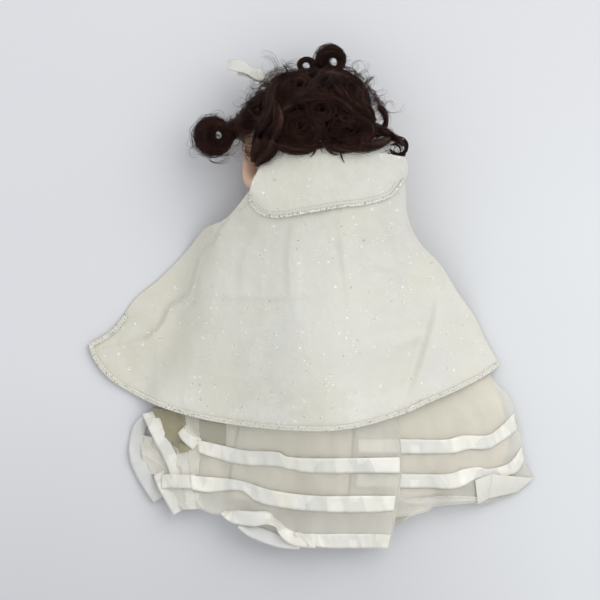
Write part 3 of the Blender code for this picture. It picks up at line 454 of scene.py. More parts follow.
class Relief:
    """The height of the first of some solids under each place, softened over the steps between facets."""

    pitch = 3 * mm
    margin = 0.03
    sky = 0.2

    def __init__(self, layers, soften, empty=None):
        lows, highs = zip(*(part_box(node) for node, lift in layers))
        self.x, self.y = (np.arange(min(low[k] for low in lows) - self.margin,
                                    max(high[k] for high in highs) + self.margin, self.pitch)
                          for k in range(2))
        trees = [(tree_of(node), lift) for node, lift in layers]
        heights = np.array([[self.top(trees, x, y) for x in self.x] for y in self.y])
        if empty is None:
            heights = self.fill(heights)
        else:
            heights[np.isnan(heights)] = empty
        self.heights = blur(heights, soften / self.pitch)

    def top(self, trees, x, y):
        for tree, lift in trees:
            hit = tree.ray_cast(Vector((x, y, self.sky)), Vector((0, 0, -1)))[0]
            if hit:
                return hit.z - lift
        return np.nan

    @staticmethod
    def fill(heights):
        """Carry the heights at the edge outwards."""
        while np.isnan(heights).any():
            near = np.stack([np.roll(heights, step, axis) for axis in (0, 1) for step in (-1, 1)])
            known = ~np.isnan(near)
            count = known.sum(0)
            mean = np.where(known, near, 0).sum(0) / np.maximum(count, 1)
            heights = np.where(np.isnan(heights) & (count > 0), mean, heights)
        return heights

    def __call__(self, x, y):
        i = np.clip((x - self.x[0]) / self.pitch, 0, len(self.x) - 1.001)
        j = np.clip((y - self.y[0]) / self.pitch, 0, len(self.y) - 1.001)
        i0, j0 = i.astype(int), j.astype(int)
        fi, fj = i - i0, j - j0
        grid = self.heights
        return ((grid[j0, i0] * (1 - fi) + grid[j0, i0 + 1] * fi) * (1 - fj)
                + (grid[j0 + 1, i0] * (1 - fi) + grid[j0 + 1, i0 + 1] * fi) * fj)


def tree_of(node):
    mesh = frame["nodes"][node].data
    corners = [vertex.co for vertex in mesh.vertices]
    return BVHTree.FromPolygons(corners, [tuple(face.vertices) for face in mesh.polygons])


skirt_base = Relief([("lining_back", 0), ("overskirt_right", right_lift), ("overskirt_left", left_lift)],
                    5 * mm)
skirt_top = Relief([("overskirt_left", 0), ("overskirt_right", 0), ("lining_back", 0)], 6 * mm, empty=0.0)
cape_form = Relief([("cape", 0)], 8 * mm)

# Waves that run down the lower skirt: height, length, start below the waist, and run up to full height
flute_height = 3.2 * mm
flute_length = 46 * mm
flute_start = 126 * mm
flute_run = 30 * mm
# Gathers of the panels: start below the waist, and run up to full height
gather_start = 90 * mm
gather_run = 70 * mm
# The cape is laid on the skirt where its solid is lower than this, and held up where it is higher
laid_below = 12 * mm
held_above = 26 * mm
# It is held off the raised arm round this place, so that the arm can swing
arm_room = (-38 * mm, 67 * mm)
arm_room_reach = 13 * mm
arm_room_height = 6.5 * mm
# The front panels climb to the waistband over this length, and by half at this far from the middle
front_climb = 34 * mm
front_spread = 32 * mm
# They end under the waist: half the body's depth below its middle, and a gap for the clothes on it
waist_depth = 13 * mm
waistband_gap = 6 * mm

# Small forms of the cloth: height in mm, stretch along the doll, size in mm and seed
cape_creases = (0.5, 0.5, 26, 5.3), (0.18, 1.4, 11, 2.9), (0.08, 1, 4.5, 1.9)
cape_waves = (0.8, 0.35, 19, 7.7), (0.12, 1, 6, 4.4)
collar_creases = (0.25, 1, 9, 6.1), (0.1, 1, 4, 3.3)
collar_waves = ((0.35, 1, 12, 2.4),)
panel_gathers = (0.8, 0.1, 8, 1.4), (1.3, 0.15, 22, 9.4)
panel_puckers = (0.4, 1, 11, 4.2), (0.2, 1, 5, 8.8)


def cape_base(x, y):
    """The cape without its folds: held up over the doll, laid on the skirt and the floor."""
    held = cape_form(x, y)
    laid = skirt_top(x, y) + cape_clearance + floor_drop
    off_arm = np.exp(-((x - arm_room[0]) ** 2 + (y - arm_room[1]) ** 2) / (2 * arm_room_reach ** 2))
    return laid + (held - laid) * smooth_step(laid_below, held_above, held) + arm_room_height * off_arm


def flutes(x, y):
    depth = smooth_step(0, flute_run, waist.y - y - flute_start)
    shift = 2.5 * crumple(x, y, 60 * mm, 3.1)
    return flute_height * depth * (0.5 + 0.5 * np.cos(2 * math.pi * (x - waist.x) / flute_length + shift))


def panel_height(x, y, lift):
    """A panel of the skirt with its gathers and puckers."""
    hang = smooth_step(0, gather_run, waist.y - y - gather_start)
    gathers = small_forms(crumple, panel_gathers, x, y)
    puckers = small_forms(crumple, panel_puckers, x, y)
    free = skirt_base(x, y) + flutes(x, y) + hang * gathers + puckers
    pressed = cape_base(x, y) - cape_clearance - top_lift
    return np.minimum(free, pressed) + lift


def front_height(x, y, level):
    """The front panels lie on the floor and climb to the waistband at the waist."""
    rise = smooth_step(front_climb, 0, waist.y - y) * (waist.z - waist_depth - waistband_gap)
    return level + rise / (1 + ((x - waist.x) / front_spread) ** 2)


def cape_height(x, y):
    folds = sum(fold_height(x, y, *fold) for fold in cape_folds)
    small = small_forms(creases, cape_creases, x, y) + small_forms(crumple, cape_waves, x, y)
    return cape_base(x, y) + folds + small


def collar_height(x, y):
    small = small_forms(creases, collar_creases, x, y) + small_forms(crumple, collar_waves, x, y)
    return cape_base(x, y) + collar_lift + small


# Pieces

def settle(piece, body, slot, *nodes):
    """Let a piece ride on its body, in the place of the solids that it shows. Its slot is not used."""
    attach(piece, body)
    if nodes:
        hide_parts(*nodes)
    return piece


def mesh_object(name, vertices, faces, finish, uvs=None):
    vertices = np.asarray(vertices, np.float32)
    faces = np.asarray(faces, np.int32)
    corners = faces.ravel()
    mesh = bpy.data.meshes.new(name)
    mesh.vertices.add(len(vertices))
    mesh.vertices.foreach_set("co", vertices.ravel())
    mesh.loops.add(len(corners))
    mesh.loops.foreach_set("vertex_index", corners)
    mesh.polygons.add(len(faces))
    mesh.polygons.foreach_set("loop_start", np.arange(0, len(corners), faces.shape[1], dtype=np.int32))
    if uvs is not None:
        layer = mesh.uv_layers.new(name="UVMap")
        layer.data.foreach_set("uv", uvs[corners].astype(np.float32).ravel())
    mesh.update(calc_edges=True)
    mesh.shade_smooth()
    mesh.materials.append(finish)
    piece = bpy.data.objects.new(name, mesh)
    bpy.context.scene.collection.objects.link(piece)
    return piece


def grid_faces(rows, columns):
    first = (np.arange(rows - 1)[:, None] * columns + np.arange(columns - 1)).ravel()
    return np.stack([first, first + columns, first + columns + 1, first + 1], axis=1)


def sheet_object(name, grid, cut, finish, thickness, slot, *nodes, body="doll_body"):
    """A sheet from a grid of points, with its weave laid out over the cut's width and length."""
    rows, columns = grid.shape[:2]
    across, down = np.meshgrid(np.linspace(0, cut[0], columns), np.linspace(0, cut[1], rows))
    uvs = np.stack([across, down], axis=-1).reshape(-1, 2)
    piece = mesh_object(name, grid.reshape(-1, 3), grid_faces(rows, columns), finish, uvs)
    wall = piece.modifiers.new("thickness", "SOLIDIFY")
    wall.thickness = thickness
    wall.offset = -1
    return settle(piece, body, slot, *nodes)


def draped(places, height, *levels):
    """Places lifted to their height."""
    return np.concatenate([places, height(places[..., 0], places[..., 1], *levels)[..., None]], axis=-1)


def frames_along(path):
    """Directions square to a path, carried along it without twisting."""
    ahead = heading_along(path)
    up = np.array([0.0, 0.0, 1.0]) if abs(ahead[0, 2]) < 0.9 else np.array([1.0, 0.0, 0.0])
    normals = []
    for direction in ahead:
        up = up - direction * (up @ direction)
        up /= np.linalg.norm(up)
        normals.append(up)
    normals = np.array(normals)
    return ahead, normals, np.cross(ahead, normals)


class Bundle:
    """Gathers many tubes into one mesh."""

    def __init__(self):
        self.vertices, self.faces, self.uvs = [], [], []
        self.count = 0

    def add(self, paths, normals, binormals, radii, sides, marks):
        """Tubes along paths of (tube, point, axis), with a mark for each tube.

        There is a radius at each point, or one at each side of each point.
        """
        tubes, points = paths.shape[:2]
        angles = np.arange(sides) * 2 * math.pi / sides
        across = np.cos(angles)[None, None, :, None] * normals[..., None, :]
        over = np.sin(angles)[None, None, :, None] * binormals[..., None, :]
        rings = np.broadcast_to(radii if radii.ndim == 3 else radii[..., None], (tubes, points, sides))
        vertices = paths[:, :, None, :] + rings[..., None] * (across + over)
        grid = np.arange(tubes * points * sides).reshape(tubes, points, sides)
        after = np.roll(grid, -1, axis=2)
        faces = np.stack([grid[:, :-1], after[:, :-1], after[:, 1:], grid[:, 1:]], axis=-1).reshape(-1, 4)
        v = np.broadcast_to(np.linspace(0, 1, points)[None, :, None], grid.shape)
        u = marks[:, None, None] + np.abs(np.arange(sides) / sides - 0.5)[None, None, :]
        self.vertices.append(vertices.reshape(-1, 3))
        self.faces.append(faces + self.count)
        self.uvs.append(np.stack([np.broadcast_to(u, grid.shape), v], axis=-1).reshape(-1, 2))
        self.count += grid.size

    def add_tube(self, path, radii, sides, mark):
        """One tube, with a radius for all of it, for each point, or for each side of each point."""
        ahead, normals, binormals = frames_along(path)
        radii = radii if np.ndim(radii) == 2 else np.broadcast_to(radii, len(path))
        self.add(path[None], normals[None], binormals[None], radii[None], sides, np.array([mark]))

    def piece(self, name, finish, body, slot, *nodes):
        piece = mesh_object(name, np.vstack(self.vertices), np.vstack(self.faces), finish,
                            np.vstack(self.uvs))
        return settle(piece, body, slot, *nodes)


# Finishes

def add_node(tree, kind, inputs=None, **settings):
    """A node with its settings. Each input is fed from another node or holds a constant."""
    node = tree.nodes.new(kind)
    for key, value in settings.items():
        setattr(node, key, value)
    for socket, value in (inputs or {}).items():
        if isinstance(value, bpy.types.NodeSocket):
            tree.links.new(value, node.inputs[socket])
        else:
            node.inputs[socket].default_value = value
    return node


def opaque(color):
    return color if isinstance(color, bpy.types.NodeSocket) else (*color, 1)


class Finish:
    """A procedural material built round one Principled shader, with its colour laid on in layers."""

    def __init__(self, name, color, roughness, **constants):
        self.material = bpy.data.materials.new(name)
        self.material.use_nodes = True
        self.tree = self.material.node_tree
        self.shader = self.tree.nodes["Principled BSDF"]
        self.color = self.shade = tuple(color)
        self.shader.inputs["Base Color"].default_value = opaque(self.color)
        self.shader.inputs["Roughness"].default_value = roughness
        for socket, value in constants.items():
            self.shader.inputs[socket.replace("_", " ")].default_value = value

    def add(self, kind, inputs=None, **settings):
        return add_node(self.tree, kind, inputs, **settings)

    def coordinates(self, kind="Object", scale=(1000, 1000, 1000)):
        """Coordinates times a scale, so in mm unless another one is given."""
        source = self.add("ShaderNodeTexCoord").outputs[kind]
        return self.add("ShaderNodeMapping", {"Vector": source, "Scale": scale}).outputs["Vector"]

    def axes(self, vector):
        return self.add("ShaderNodeSeparateXYZ", {"Vector": vector}).outputs

    def noise(self, vector, scale, detail, roughness=0.5):
        return self.add("ShaderNodeTexNoise", {"Vector": vector, "Scale": scale, "Detail": detail,
                                               "Roughness": roughness}).outputs["Fac"]

    def cells(self, vector, scale, output="Distance"):
        return self.add("ShaderNodeTexVoronoi", {"Vector": vector, "Scale": scale}).outputs[output]

    def ramp(self, value, low, high, start=0.0, end=1.0):
        return self.add("ShaderNodeMapRange", {"Value": value, "From Min": low, "From Max": high,
                                               "To Min": start, "To Max": end}).outputs["Result"]

    def cloud(self, vector, scale, detail, *spread, roughness=0.5):
        """Noise between two levels, spread from 0 to 1 or from one value to another."""
        return self.ramp(self.noise(vector, scale, detail, roughness), *spread)

    def math(self, operation, first, second):
        return self.add("ShaderNodeMath", {0: first, 1: second}, operation=operation).outputs["Value"]

    def mix(self, share, first, second):
        inputs = {0: share, 6: opaque(first), 7: opaque(second)}
        return self.add("ShaderNodeMix", inputs, data_type="RGBA").outputs[2]

    def weave(self, pitch):
        """Threads one over the other, at a pitch in mm."""
        inputs = {"Vector": self.coordinates("UV"), "Scale": math.pi / 10 / pitch}
        warp, weft = (self.add("ShaderNodeTexWave", inputs, bands_direction=way).outputs["Fac"]
                      for way in "XY")
        return self.math("MAXIMUM", warp, weft)

    def over(self, share, color):
        """Lay a colour over the shade so far."""
        self.shade = self.mix(share, self.shade, color)

    def tinge(self, share, *factors):
        """Lay the finish's own colour over the shade so far, lighter or darker."""
        self.over(share, times(self.color, *factors))

    def link(self, output, socket):
        self.tree.links.new(output, self.shader.inputs[socket])

    def done(self, height, strength, distance):
        """The material, with its shade and with bumps of a height."""
        self.link(self.shade, "Base Color")
        bump = self.add("ShaderNodeBump", {"Height": height, "Strength": strength, "Distance": distance})
        self.link(bump.outputs["Normal"], "Normal")
        return self.material


def cape_finish(name, color):
    """Cream cloth with painted light and shade, darker and yellower to the left, and loose metal threads
    painted as glints here and there.
    """
    finish = Finish(name, color, 0.62, Sheen_Weight=0.12, Sheen_Roughness=0.5)
    place = finish.coordinates()
    parts = finish.axes(place)
    # Painted light and shade by place: darker towards the neck, darker and yellower to the left, a little
    # bluer to the right, darker in a band down the middle and lighter towards the hem. The last three layers
    # are uneven tone of the cloth.
    middle = finish.math("MULTIPLY", finish.ramp(parts["X"], -6, 16, 0, 0.6),
                         finish.ramp(parts["X"], 104, 72))
    for share, factors in ((finish.ramp(parts["Y"], -10, 45), (0.885, 0.88, 0.855)),
                           (finish.ramp(parts["X"], -40, -105), (0.86, 0.84, 0.76)),
                           (finish.ramp(parts["X"], 35, 90), (0.975, 0.975, 1.02)),
                           (middle, (0.8,)),
                           (finish.ramp(parts["Y"], -46, -72, 0, 0.6), (1.16,)),
                           (finish.cloud(place, 0.1, 2, 0.38, 0.62, 0.0, 0.5), (0.925, 0.93, 0.96)),
                           (finish.cloud(place, 0.025, 3, 0.4, 0.65, 0, 0.6), (0.93, 0.91, 0.82)),
                           (finish.cloud(place, 0.35, 4, 0.35, 0.7, 0.0, 0.4, roughness=0.65), (0.9,))):
        finish.tinge(share, *factors)
    # Short flecks in patches, and knots of curled thread: the metal thread is painted near white as glints or
    # grey as shade, at random
    patches = finish.cloud(place, 0.07, 2, 0.36, 0.68, 0.02, 0.19)
    fleck = finish.math("LESS_THAN", finish.cells(place, 0.5), patches)
    some = finish.math("LESS_THAN", finish.cells(place, 0.2, "Color"), 0.38)
    near = finish.math("LESS_THAN", finish.cells(place, 0.2), 0.24)
    curly = finish.math("GREATER_THAN", finish.noise(place, 1.3, 2), 0.54)
    knots = finish.math("MULTIPLY", some, finish.math("MULTIPLY", near, curly))
    fleck = finish.math("MAXIMUM", fleck, knots)
    tone = finish.ramp(finish.cells(place, 0.5, "Color"), 0.2, 0.6)
    finish.over(fleck, finish.mix(tone, (0.38, 0.38, 0.35), (0.97, 0.97, 0.95)))
    finish.link(finish.ramp(fleck, 0, 1, 0.62, 0.18), "Roughness")
    grain = finish.math("MULTIPLY", finish.noise(place, 1.1, 3, 0.6), 2.4)
    height = finish.math("ADD", finish.math("MULTIPLY", finish.weave(0.55), 0.6), grain)
    height = finish.math("ADD", height, finish.math("MULTIPLY", fleck, 1.2))
    return finish.done(height, 0.55, 0.00016)


def braid_finish(name, color, specks=0.16):
    """Twisted cream threads, with dark specks painted as shade between them and silver specks painted near
    white as glints.
    """
    finish = Finish(name, color, 0.45, Metallic=0.08)
    place = finish.coordinates()
    finish.shade = times(color, 0.80)
    finish.tinge(finish.cloud(place, 1.6, 3, 0.3, 0.7), 1.15)
    # Painted shade: dark specks between the threads. Painted glints: near white specks for the silver thread.
    pick = finish.cells(place, 1.5, "Color")
    finish.tinge(finish.math("MULTIPLY", finish.math("LESS_THAN", pick, specks), 0.8), 0.32)
    bright = finish.math("GREATER_THAN", pick, 0.88)
    finish.over(bright, (1.0, 1.0, 0.97))
    finish.link(finish.ramp(bright, 0, 1, 0.5, 0.2), "Roughness")
    return finish.done(finish.noise(place, 2.4, 2), 0.6, 0.0002)


def sheer_finish(name, color, cover):
    """Organza: a crisp sheer cloth in soft gathers that lets through what lies under it, with painted shade
    along the gathers.
    """
    finish = Finish(name, color, 0.45, Alpha=cover, Sheen_Weight=0.2, Sheen_Roughness=0.35)
    place = finish.coordinates()
    finish.shade = times(color, 0.93)
    finish.tinge(finish.cloud(place, 0.04, 3, 0.35, 0.65), 1.03)
    # The gathers are painted darker as shade in their folds, and also raised as bumps.
    gathers = finish.noise(finish.coordinates("UV", (70, 5, 1)), 1.0, 2)
    finish.tinge(finish.ramp(gathers, 0.4, 0.68, 0, 0.4), 0.84)
    relief = finish.math("ADD", finish.math("MULTIPLY", gathers, 6.0), finish.noise(place, 0.3, 3))
    return finish.done(finish.math("ADD", finish.weave(0.4), relief), 0.4, 0.00018)


def taffeta_finish(name, color):
    """A plain close lining cloth with a dull shine."""
    finish = Finish(name, color, 0.5, Sheen_Weight=0.2, Sheen_Roughness=0.4)
    finish.tinge(finish.cloud(finish.coordinates(), 0.03, 3, 0.35, 0.65), 0.97, 0.95, 0.90)
    streaks = finish.coordinates("UV", (3000, 60, 1))
    finish.tinge(finish.cloud(streaks, 1.0, 2, 0.3, 0.7, 0, 0.35), 0.9)
    return finish.done(finish.weave(0.35), 0.25, 0.00008)


def satin_finish(name, color):
    """Satin ribbon: bright, with long threads across a fine weave, and facets where it is creased, painted
    darker as shade.
    """
    finish = Finish(name, color, 0.3, Sheen_Weight=0.25, Sheen_Roughness=0.3, Specular_IOR_Level=0.6)
    place = finish.coordinates()
    finish.shade = times(color, 1.04)
    finish.tinge(finish.cloud(place, 0.06, 3, 0.35, 0.65), 0.95, 0.93, 0.87)
    # Crease facets: cells across the ribbon painted darker as shade.
    facets = finish.cells(finish.coordinates("UV", (115, 45, 1)), 1.0, "Color")
    finish.tinge(finish.ramp(facets, 0.35, 0.65, 0.0, 0.9), 0.84)
    long_threads = finish.noise(finish.coordinates("UV", (120, 5000, 1)), 1.0, 2)
    finish.link(finish.ramp(long_threads, 0.3, 0.7, 0.24, 0.40), "Roughness")
    return finish.done(finish.math("ADD", long_threads, finish.noise(place, 0.25, 3)), 0.3, 0.00012)


def hair_finish(name, color, light):
    """Brown hair: each strand a little lighter or redder than the next."""
    finish = Finish(name, color, 0.48, Specular_IOR_Level=0.35, Specular_Tint=(0.8, 0.5, 0.42, 1))
    strands = finish.noise(finish.coordinates("UV", (60, 1.5, 1)), 1.0, 2, 0.6)
    place = finish.coordinates()
    patches = finish.math("MULTIPLY", finish.noise(place, 0.09, 2), 0.8)
    finish.over(finish.ramp(finish.math("ADD", strands, patches), 0.72, 1.12), light)
    finish.over(finish.cloud(place, 0.06, 2, 0.5, 0.75, 0, 0.5), times(light, 0.95, 0.72, 0.66))
    return finish.done(finish.noise(finish.coordinates("UV", (160, 4, 1)), 1.0, 2), 0.4, 0.0002)


def skin_finish(name, color, blush):
    """Painted hard plastic, warm, with a faint unevenness."""
    finish = Finish(name, color, 0.42, Subsurface_Weight=0.08, Coat_Weight=0.1, Coat_Roughness=0.35,
                    Subsurface_Radius=(0.004, 0.002, 0.001))
    place = finish.coordinates()
    finish.over(finish.cloud(place, 0.06, 3, 0.4, 0.7, 0, 0.5), blush)
    finish.link(finish.cloud(place, 0.2, 3, 0.3, 0.7, 0.36, 0.5), "Roughness")
    return finish.done(finish.noise(place, 1.1, 2), 0.08, 0.0001)


def plain_finish(name, color, roughness, grain, depth):
    """A small working part: moulded or drawn, with a fine grain."""
    finish = Finish(name, color, roughness)
    place = finish.coordinates()
    finish.shade = times(color, 0.9)
    finish.over(finish.cloud(place, grain, 3, 0.35, 0.65), color)
    return finish.done(finish.noise(place, grain * 6, 2), 0.3, depth)


# Sizes and colours that a user may change

def length_setting(name, description, default, low, high):
    """A length, given in mm."""
    return FloatProperty(name=name, description=description, default=default * mm, min=low * mm,
                         max=high * mm, subtype="DISTANCE", unit="LENGTH")


def color_setting(name, description, *color):
    """A colour, given as in the photograph."""
    return FloatVectorProperty(name=name, description=description, default=tint(*color), min=0, max=1,
                               subtype="COLOR")


class DollClothSettings(bpy.types.PropertyGroup):
    """Cape, collar and skirt"""

    cloth_thickness: length_setting("Cloth thickness", "Thickness of the cape's and collar's cloth",
                                    0.5, 0.1, 2)
    sheer_thickness: length_setting("Sheer thickness", "Thickness of organza, lining and ribbon",
                                    0.2, 0.05, 1)
    braid_radius: length_setting("Braid strand radius", "Radius of each strand of the braid", 0.62, 0.2, 2)
    sheer_cover: FloatProperty(name="Sheer cover", description="How much of the light the organza stops",
                               default=0.34, min=0.05, max=1.0, subtype="FACTOR")
    cape_color: color_setting("Cape colour", "Colour of the cape and the collar", 217, 215, 206)
    braid_color: color_setting("Braid colour", "Colour of the braid", 221, 218, 207)
    organza_color: color_setting("Organza colour", "Colour of the sheer skirt", 240, 236, 224)
    lining_color: color_setting("Lining colour", "Colour of the skirt's lining", 221, 214, 197)
    ribbon_color: color_setting("Ribbon colour", "Colour of the satin ribbons", 231, 229, 221)


class DollHairSettings(bpy.types.PropertyGroup):
    """Wigs"""

    strand_radius: length_setting("Strand radius", "Radius of a strand of the wig's hair", 0.13, 0.03, 1)
    strands: IntProperty(name="Strands in a lock", description="How many strands lie round each lock",
                         default=70, min=4, max=300)
    flyaways: IntProperty(name="Loose hairs", description="How many single hairs stand out of the wig",
                          default=1900, min=0, max=5000)
    hair_color: color_setting("Hair colour", "Colour of the hair in its depths", 18, 11, 10)
    light_color: color_setting("Light hair colour", "Colour of the lightest strands", 55, 34, 28)


class DollBodySettings(bpy.types.PropertyGroup):
    """Heads, bodies and arms"""

    skin_color: color_setting("Skin colour", "Colour of the heads, bodies and arms", 228, 188, 162)
    blush_color: color_setting("Blush colour", "Colour of the cheeks and warm places", 206, 142, 122)
    lip_color: color_setting("Lip colour", "Colour of the lips", 176, 82, 78)
    iris_color: color_setting("Iris colour", "Colour of the irises", 92, 70, 48)


class DollStageSettings(bpy.types.PropertyGroup):
    """Floor, lamp and camera"""

    lens: FloatProperty(name="Lens", description="Focal length of the camera", default=200.0, min=20.0,
                        max=500.0, subtype="DISTANCE_CAMERA", unit="CAMERA")
    lamp_power: FloatProperty(name="Lamp power", description="Power of the soft lamp", default=15.0, min=0.0,
                              max=500.0, subtype="POWER", unit="POWER")
    sky_strength: FloatProperty(name="Sky strength", description="Strength of the light from all round",
                                default=0.86, min=0.0, max=3.0)
    floor_color: color_setting("Floor colour", "Colour of the floor in the middle", 213, 213, 216)


# Stage

class DOLL_OT_stage(bpy.types.Operator):
    """Make the floor, the soft light and the camera straight above"""

    bl_idname = "doll.stage"
    bl_label = "Stage"

    far_end = 20
    lamp_size = 1.8
    lamp_place = (0.85, 0.75, 1.35)
    sky_color = (0.96, 0.98, 1.0)
    floor_reach = 4.0

    def execute(self, context):
        settings = context.scene.doll_stage
        self.make_camera(context, settings)
        self.make_light(context, settings)
        self.make_floor(settings)
        return {"FINISHED"}

    def make_camera(self, context, settings):
        camera = bpy.data.cameras.new("camera")
        camera.lens = settings.lens
        half_tangent = camera.sensor_width / 2 / camera.lens
        distance = picture_side * pixel / 2 / half_tangent
        holder = bpy.data.objects.new("camera", camera)
        middle = from_pixels((picture_side / 2, picture_side / 2))
        holder.location = (middle[0], middle[1], sharp_height + distance)
        camera.clip_end = self.far_end
        context.scene.collection.objects.link(holder)
        context.scene.camera = holder

    def make_light(self, context, settings):
        """A large soft lamp, and a sky whose light is cooler than the floor that the camera sees."""
        lamp = bpy.data.lights.new("soft_lamp", "AREA")
        lamp.shape = "DISK"
        lamp.size = self.lamp_size
        lamp.energy = settings.lamp_power
        holder = bpy.data.objects.new("soft_lamp", lamp)
        holder.location = self.lamp_place
        holder.rotation_euler = (-Vector(holder.location)).to_track_quat("-Z", "Y").to_euler()
        context.scene.collection.objects.link(holder)
        world = bpy.data.worlds.new("room")
        world.use_nodes = True
        tree = world.node_tree
        tree.nodes.clear()
        light = add_node(tree, "ShaderNodeBackground", {"Color": opaque(self.sky_color),
                                                        "Strength": settings.sky_strength})
        seen = add_node(tree, "ShaderNodeBackground", {"Color": opaque(settings.floor_color),
                                                       "Strength": 1.0})
        path = add_node(tree, "ShaderNodeLightPath")
        mix = add_node(tree, "ShaderNodeMixShader", {0: path.outputs["Is Camera Ray"],
                                                     1: light.outputs[0], 2: seen.outputs[0]})
        add_node(tree, "ShaderNodeOutputWorld", {"Surface": mix.outputs[0]})
        context.scene.world = world
        context.scene.view_settings.view_transform = "Standard"

    def make_floor(self, settings):
        """A wide pale floor seen from above only, with painted light and shade: lighter and cooler to the
        right, darker towards the hem and a little darker at the top right.
        """
        corners = [(x * self.floor_reach, y * self.floor_reach, -floor_drop)
                   for x, y in ((-1, -1), (1, -1), (1, 1), (-1, 1))]
        color = tuple(settings.floor_color)
        finish = Finish("floor_finish", color, 0.85, Specular_IOR_Level=0.2)
        place = finish.coordinates("Object", (1, 1, 1))
        parts = finish.axes(place)
        right = finish.ramp(parts["X"], -0.16, 0.2)
        low = finish.math("MULTIPLY", finish.ramp(parts["Y"], -0.05, -0.22),
                          finish.ramp(parts["X"], 0.04, 0.17, 1.0, 0.2))
        high = finish.math("MULTIPLY", finish.ramp(parts["Y"], 0.04, 0.2), right)
        # Painted light to the right; painted shade towards the hem and at the top right. The last layer is
        # uneven tone at random.
        finish.shade = times(color, 0.98)
        finish.tinge(right, 1.05, 1.07, 1.04)
        finish.tinge(low, 0.82)
        finish.tinge(high, 0.97)
        finish.tinge(finish.cloud(place, 5.0, 2, 0.3, 0.7, 0, 0.25), 0.96)
        material = finish.done(finish.noise(place, 900.0, 2), 0.05, 0.0002)
        mesh_object("floor", corners, [(0, 1, 2, 3)], material)


# Cape, collar and braids

class DOLL_OT_cape(bpy.types.Operator):
    """Make the cape, draped over the shoulders and the skirt with the folds of the photograph"""

    bl_idname = "doll.cape"
    bl_label = "Cape"

    rows, columns = 140, 224
    cut = (0.30, 0.19)
    cut_area = 0.0365

    def execute(self, context):
        settings = context.scene.doll_cloth
        places = pixel_patch(cape_neck_pixels, cape_hem_pixels, cape_left_pixels, cape_right_pixels,
                             self.rows, self.columns)
        finish = cape_finish("cape_cloth_finish", settings.cape_color)
        cape = sheet_object("cape_cloth", draped(places, cape_height), self.cut, finish,
                            settings.cloth_thickness, "cape_cloth", "cape")
        return {"FINISHED"}


class DOLL_OT_collar(bpy.types.Operator):
    """Make the flat collar with its row of stitches"""

    bl_idname = "doll.collar"
    bl_label = "Collar"

    rows, columns = 60, 120
    cut = (0.105, 0.05)
    cut_area = 0.0046
    stitch_inset = 4.2 * mm
    stitch_pitch = 2.1 * mm
    stitch_length = 1.5 * mm
    stitch_radius = 0.2 * mm
    # Each stitch's height and thickness along it, as shares of its radius
    stitch_rise = np.array([-0.6, 0.6, 0.9, 0.6, -0.6])
    stitch_swell = np.array([0.4, 0.9, 1.0, 0.9, 0.4])

    def execute(self, context):
        settings = context.scene.doll_cloth
        places = pixel_patch(collar_neck_pixels, collar_hem_pixels, collar_left_pixels, collar_right_pixels,
                             self.rows, self.columns)
        finish = cape_finish("collar_cloth_finish", settings.cape_color)
        collar = sheet_object("collar_cloth", draped(places, collar_height), self.cut, finish,
                              settings.cloth_thickness, "cape_cloth", "collar")
        self.make_stitches()
        return {"FINISHED"}

    def make_stitches(self):
        """A row of short stitches along the inside of the lower edge."""
        inner = inset_line(from_pixels(smooth_line(collar_hem_pixels, 200)), self.stitch_inset)[12:-8]
        along = distances_along(inner)
        bundle = Bundle()
        for start in np.arange(0, along[-1] - self.stitch_length, self.stitch_pitch):
            marks = start + np.linspace(0, self.stitch_length, len(self.stitch_rise))
            path = draped(read_at(marks, along, inner), collar_height)
            path[:, 2] += self.stitch_radius * self.stitch_rise
            bundle.add_tube(path, self.stitch_radius * self.stitch_swell, 6, start)
        finish = braid_finish("stitch_finish", tint(188, 184, 170))
        return bundle.piece("collar_stitches", finish, "doll_body", "braid")


def inset_line(line, distance):
    """Move a line that runs to the right inwards, away from the hem."""
    ahead = heading_along(line)
    return line + distance * np.stack([-ahead[:, 1], ahead[:, 0]], axis=1)


class DOLL_OT_braids(bpy.types.Operator):
    """Plait the braid along the cape's hem and the collar's lower edge"""

    bl_idname = "doll.braids"
    bl_label = "Braids"

    # Length of a plait, how far its strands swing and rise, and the step along them
    plait = 5.0 * mm
    swing = 1.15 * mm
    rise = 0.5 * mm
    step = 0.55 * mm
    # The collar's braid is finer
    collar_scale = 0.6
    collar_radius = 0.66
    collar_specks = 0.26

    def execute(self, context):
        settings = context.scene.doll_cloth
        corner = from_pixels(smooth_line(cape_left_pixels[-3:], 30))[8:]
        hem = np.vstack([corner, from_pixels(smooth_line(cape_hem_pixels, 400))[1:]])
        self.make_braid("cape_hem_braid", "cape_braid", hem, cape_height, settings.braid_radius, 1.0,
                        braid_finish("braid_finish", settings.braid_color))
        edge = from_pixels(smooth_line(collar_hem_pixels, 200))
        self.make_braid("collar_edge_braid", "collar_braid", edge, collar_height,
                        settings.braid_radius * self.collar_radius, self.collar_scale,
                        braid_finish("collar_braid_finish", settings.braid_color, self.collar_specks))
        return {"FINISHED"}

    def make_braid(self, name, node, line, height, radius, scale, finish):
        """Three strands that swing from side to side and over each other."""
        swing, rise, plait = (size * scale for size in (self.swing, self.rise, self.plait))
        line = inset_line(line, swing + 0.5 * radius)
        length = run_length(line)
        line = smooth_line(line, int(length / self.step))
        along = np.linspace(0, length, len(line))
        sideways = inset_line(line, 1.0) - line
        bundle = Bundle()
        for strand in range(3):
            turn = 2 * math.pi * (along / plait + strand / 3)
            path = draped(line + sideways * (swing * np.sin(turn))[:, None], height)
            path[:, 2] += radius + rise * (1 + np.sin(2 * turn))
            bundle.add_tube(path, radius, 7, 0.31 * strand)
        bundle.piece(name, finish, "doll_body", "braid", node)


# Skirt

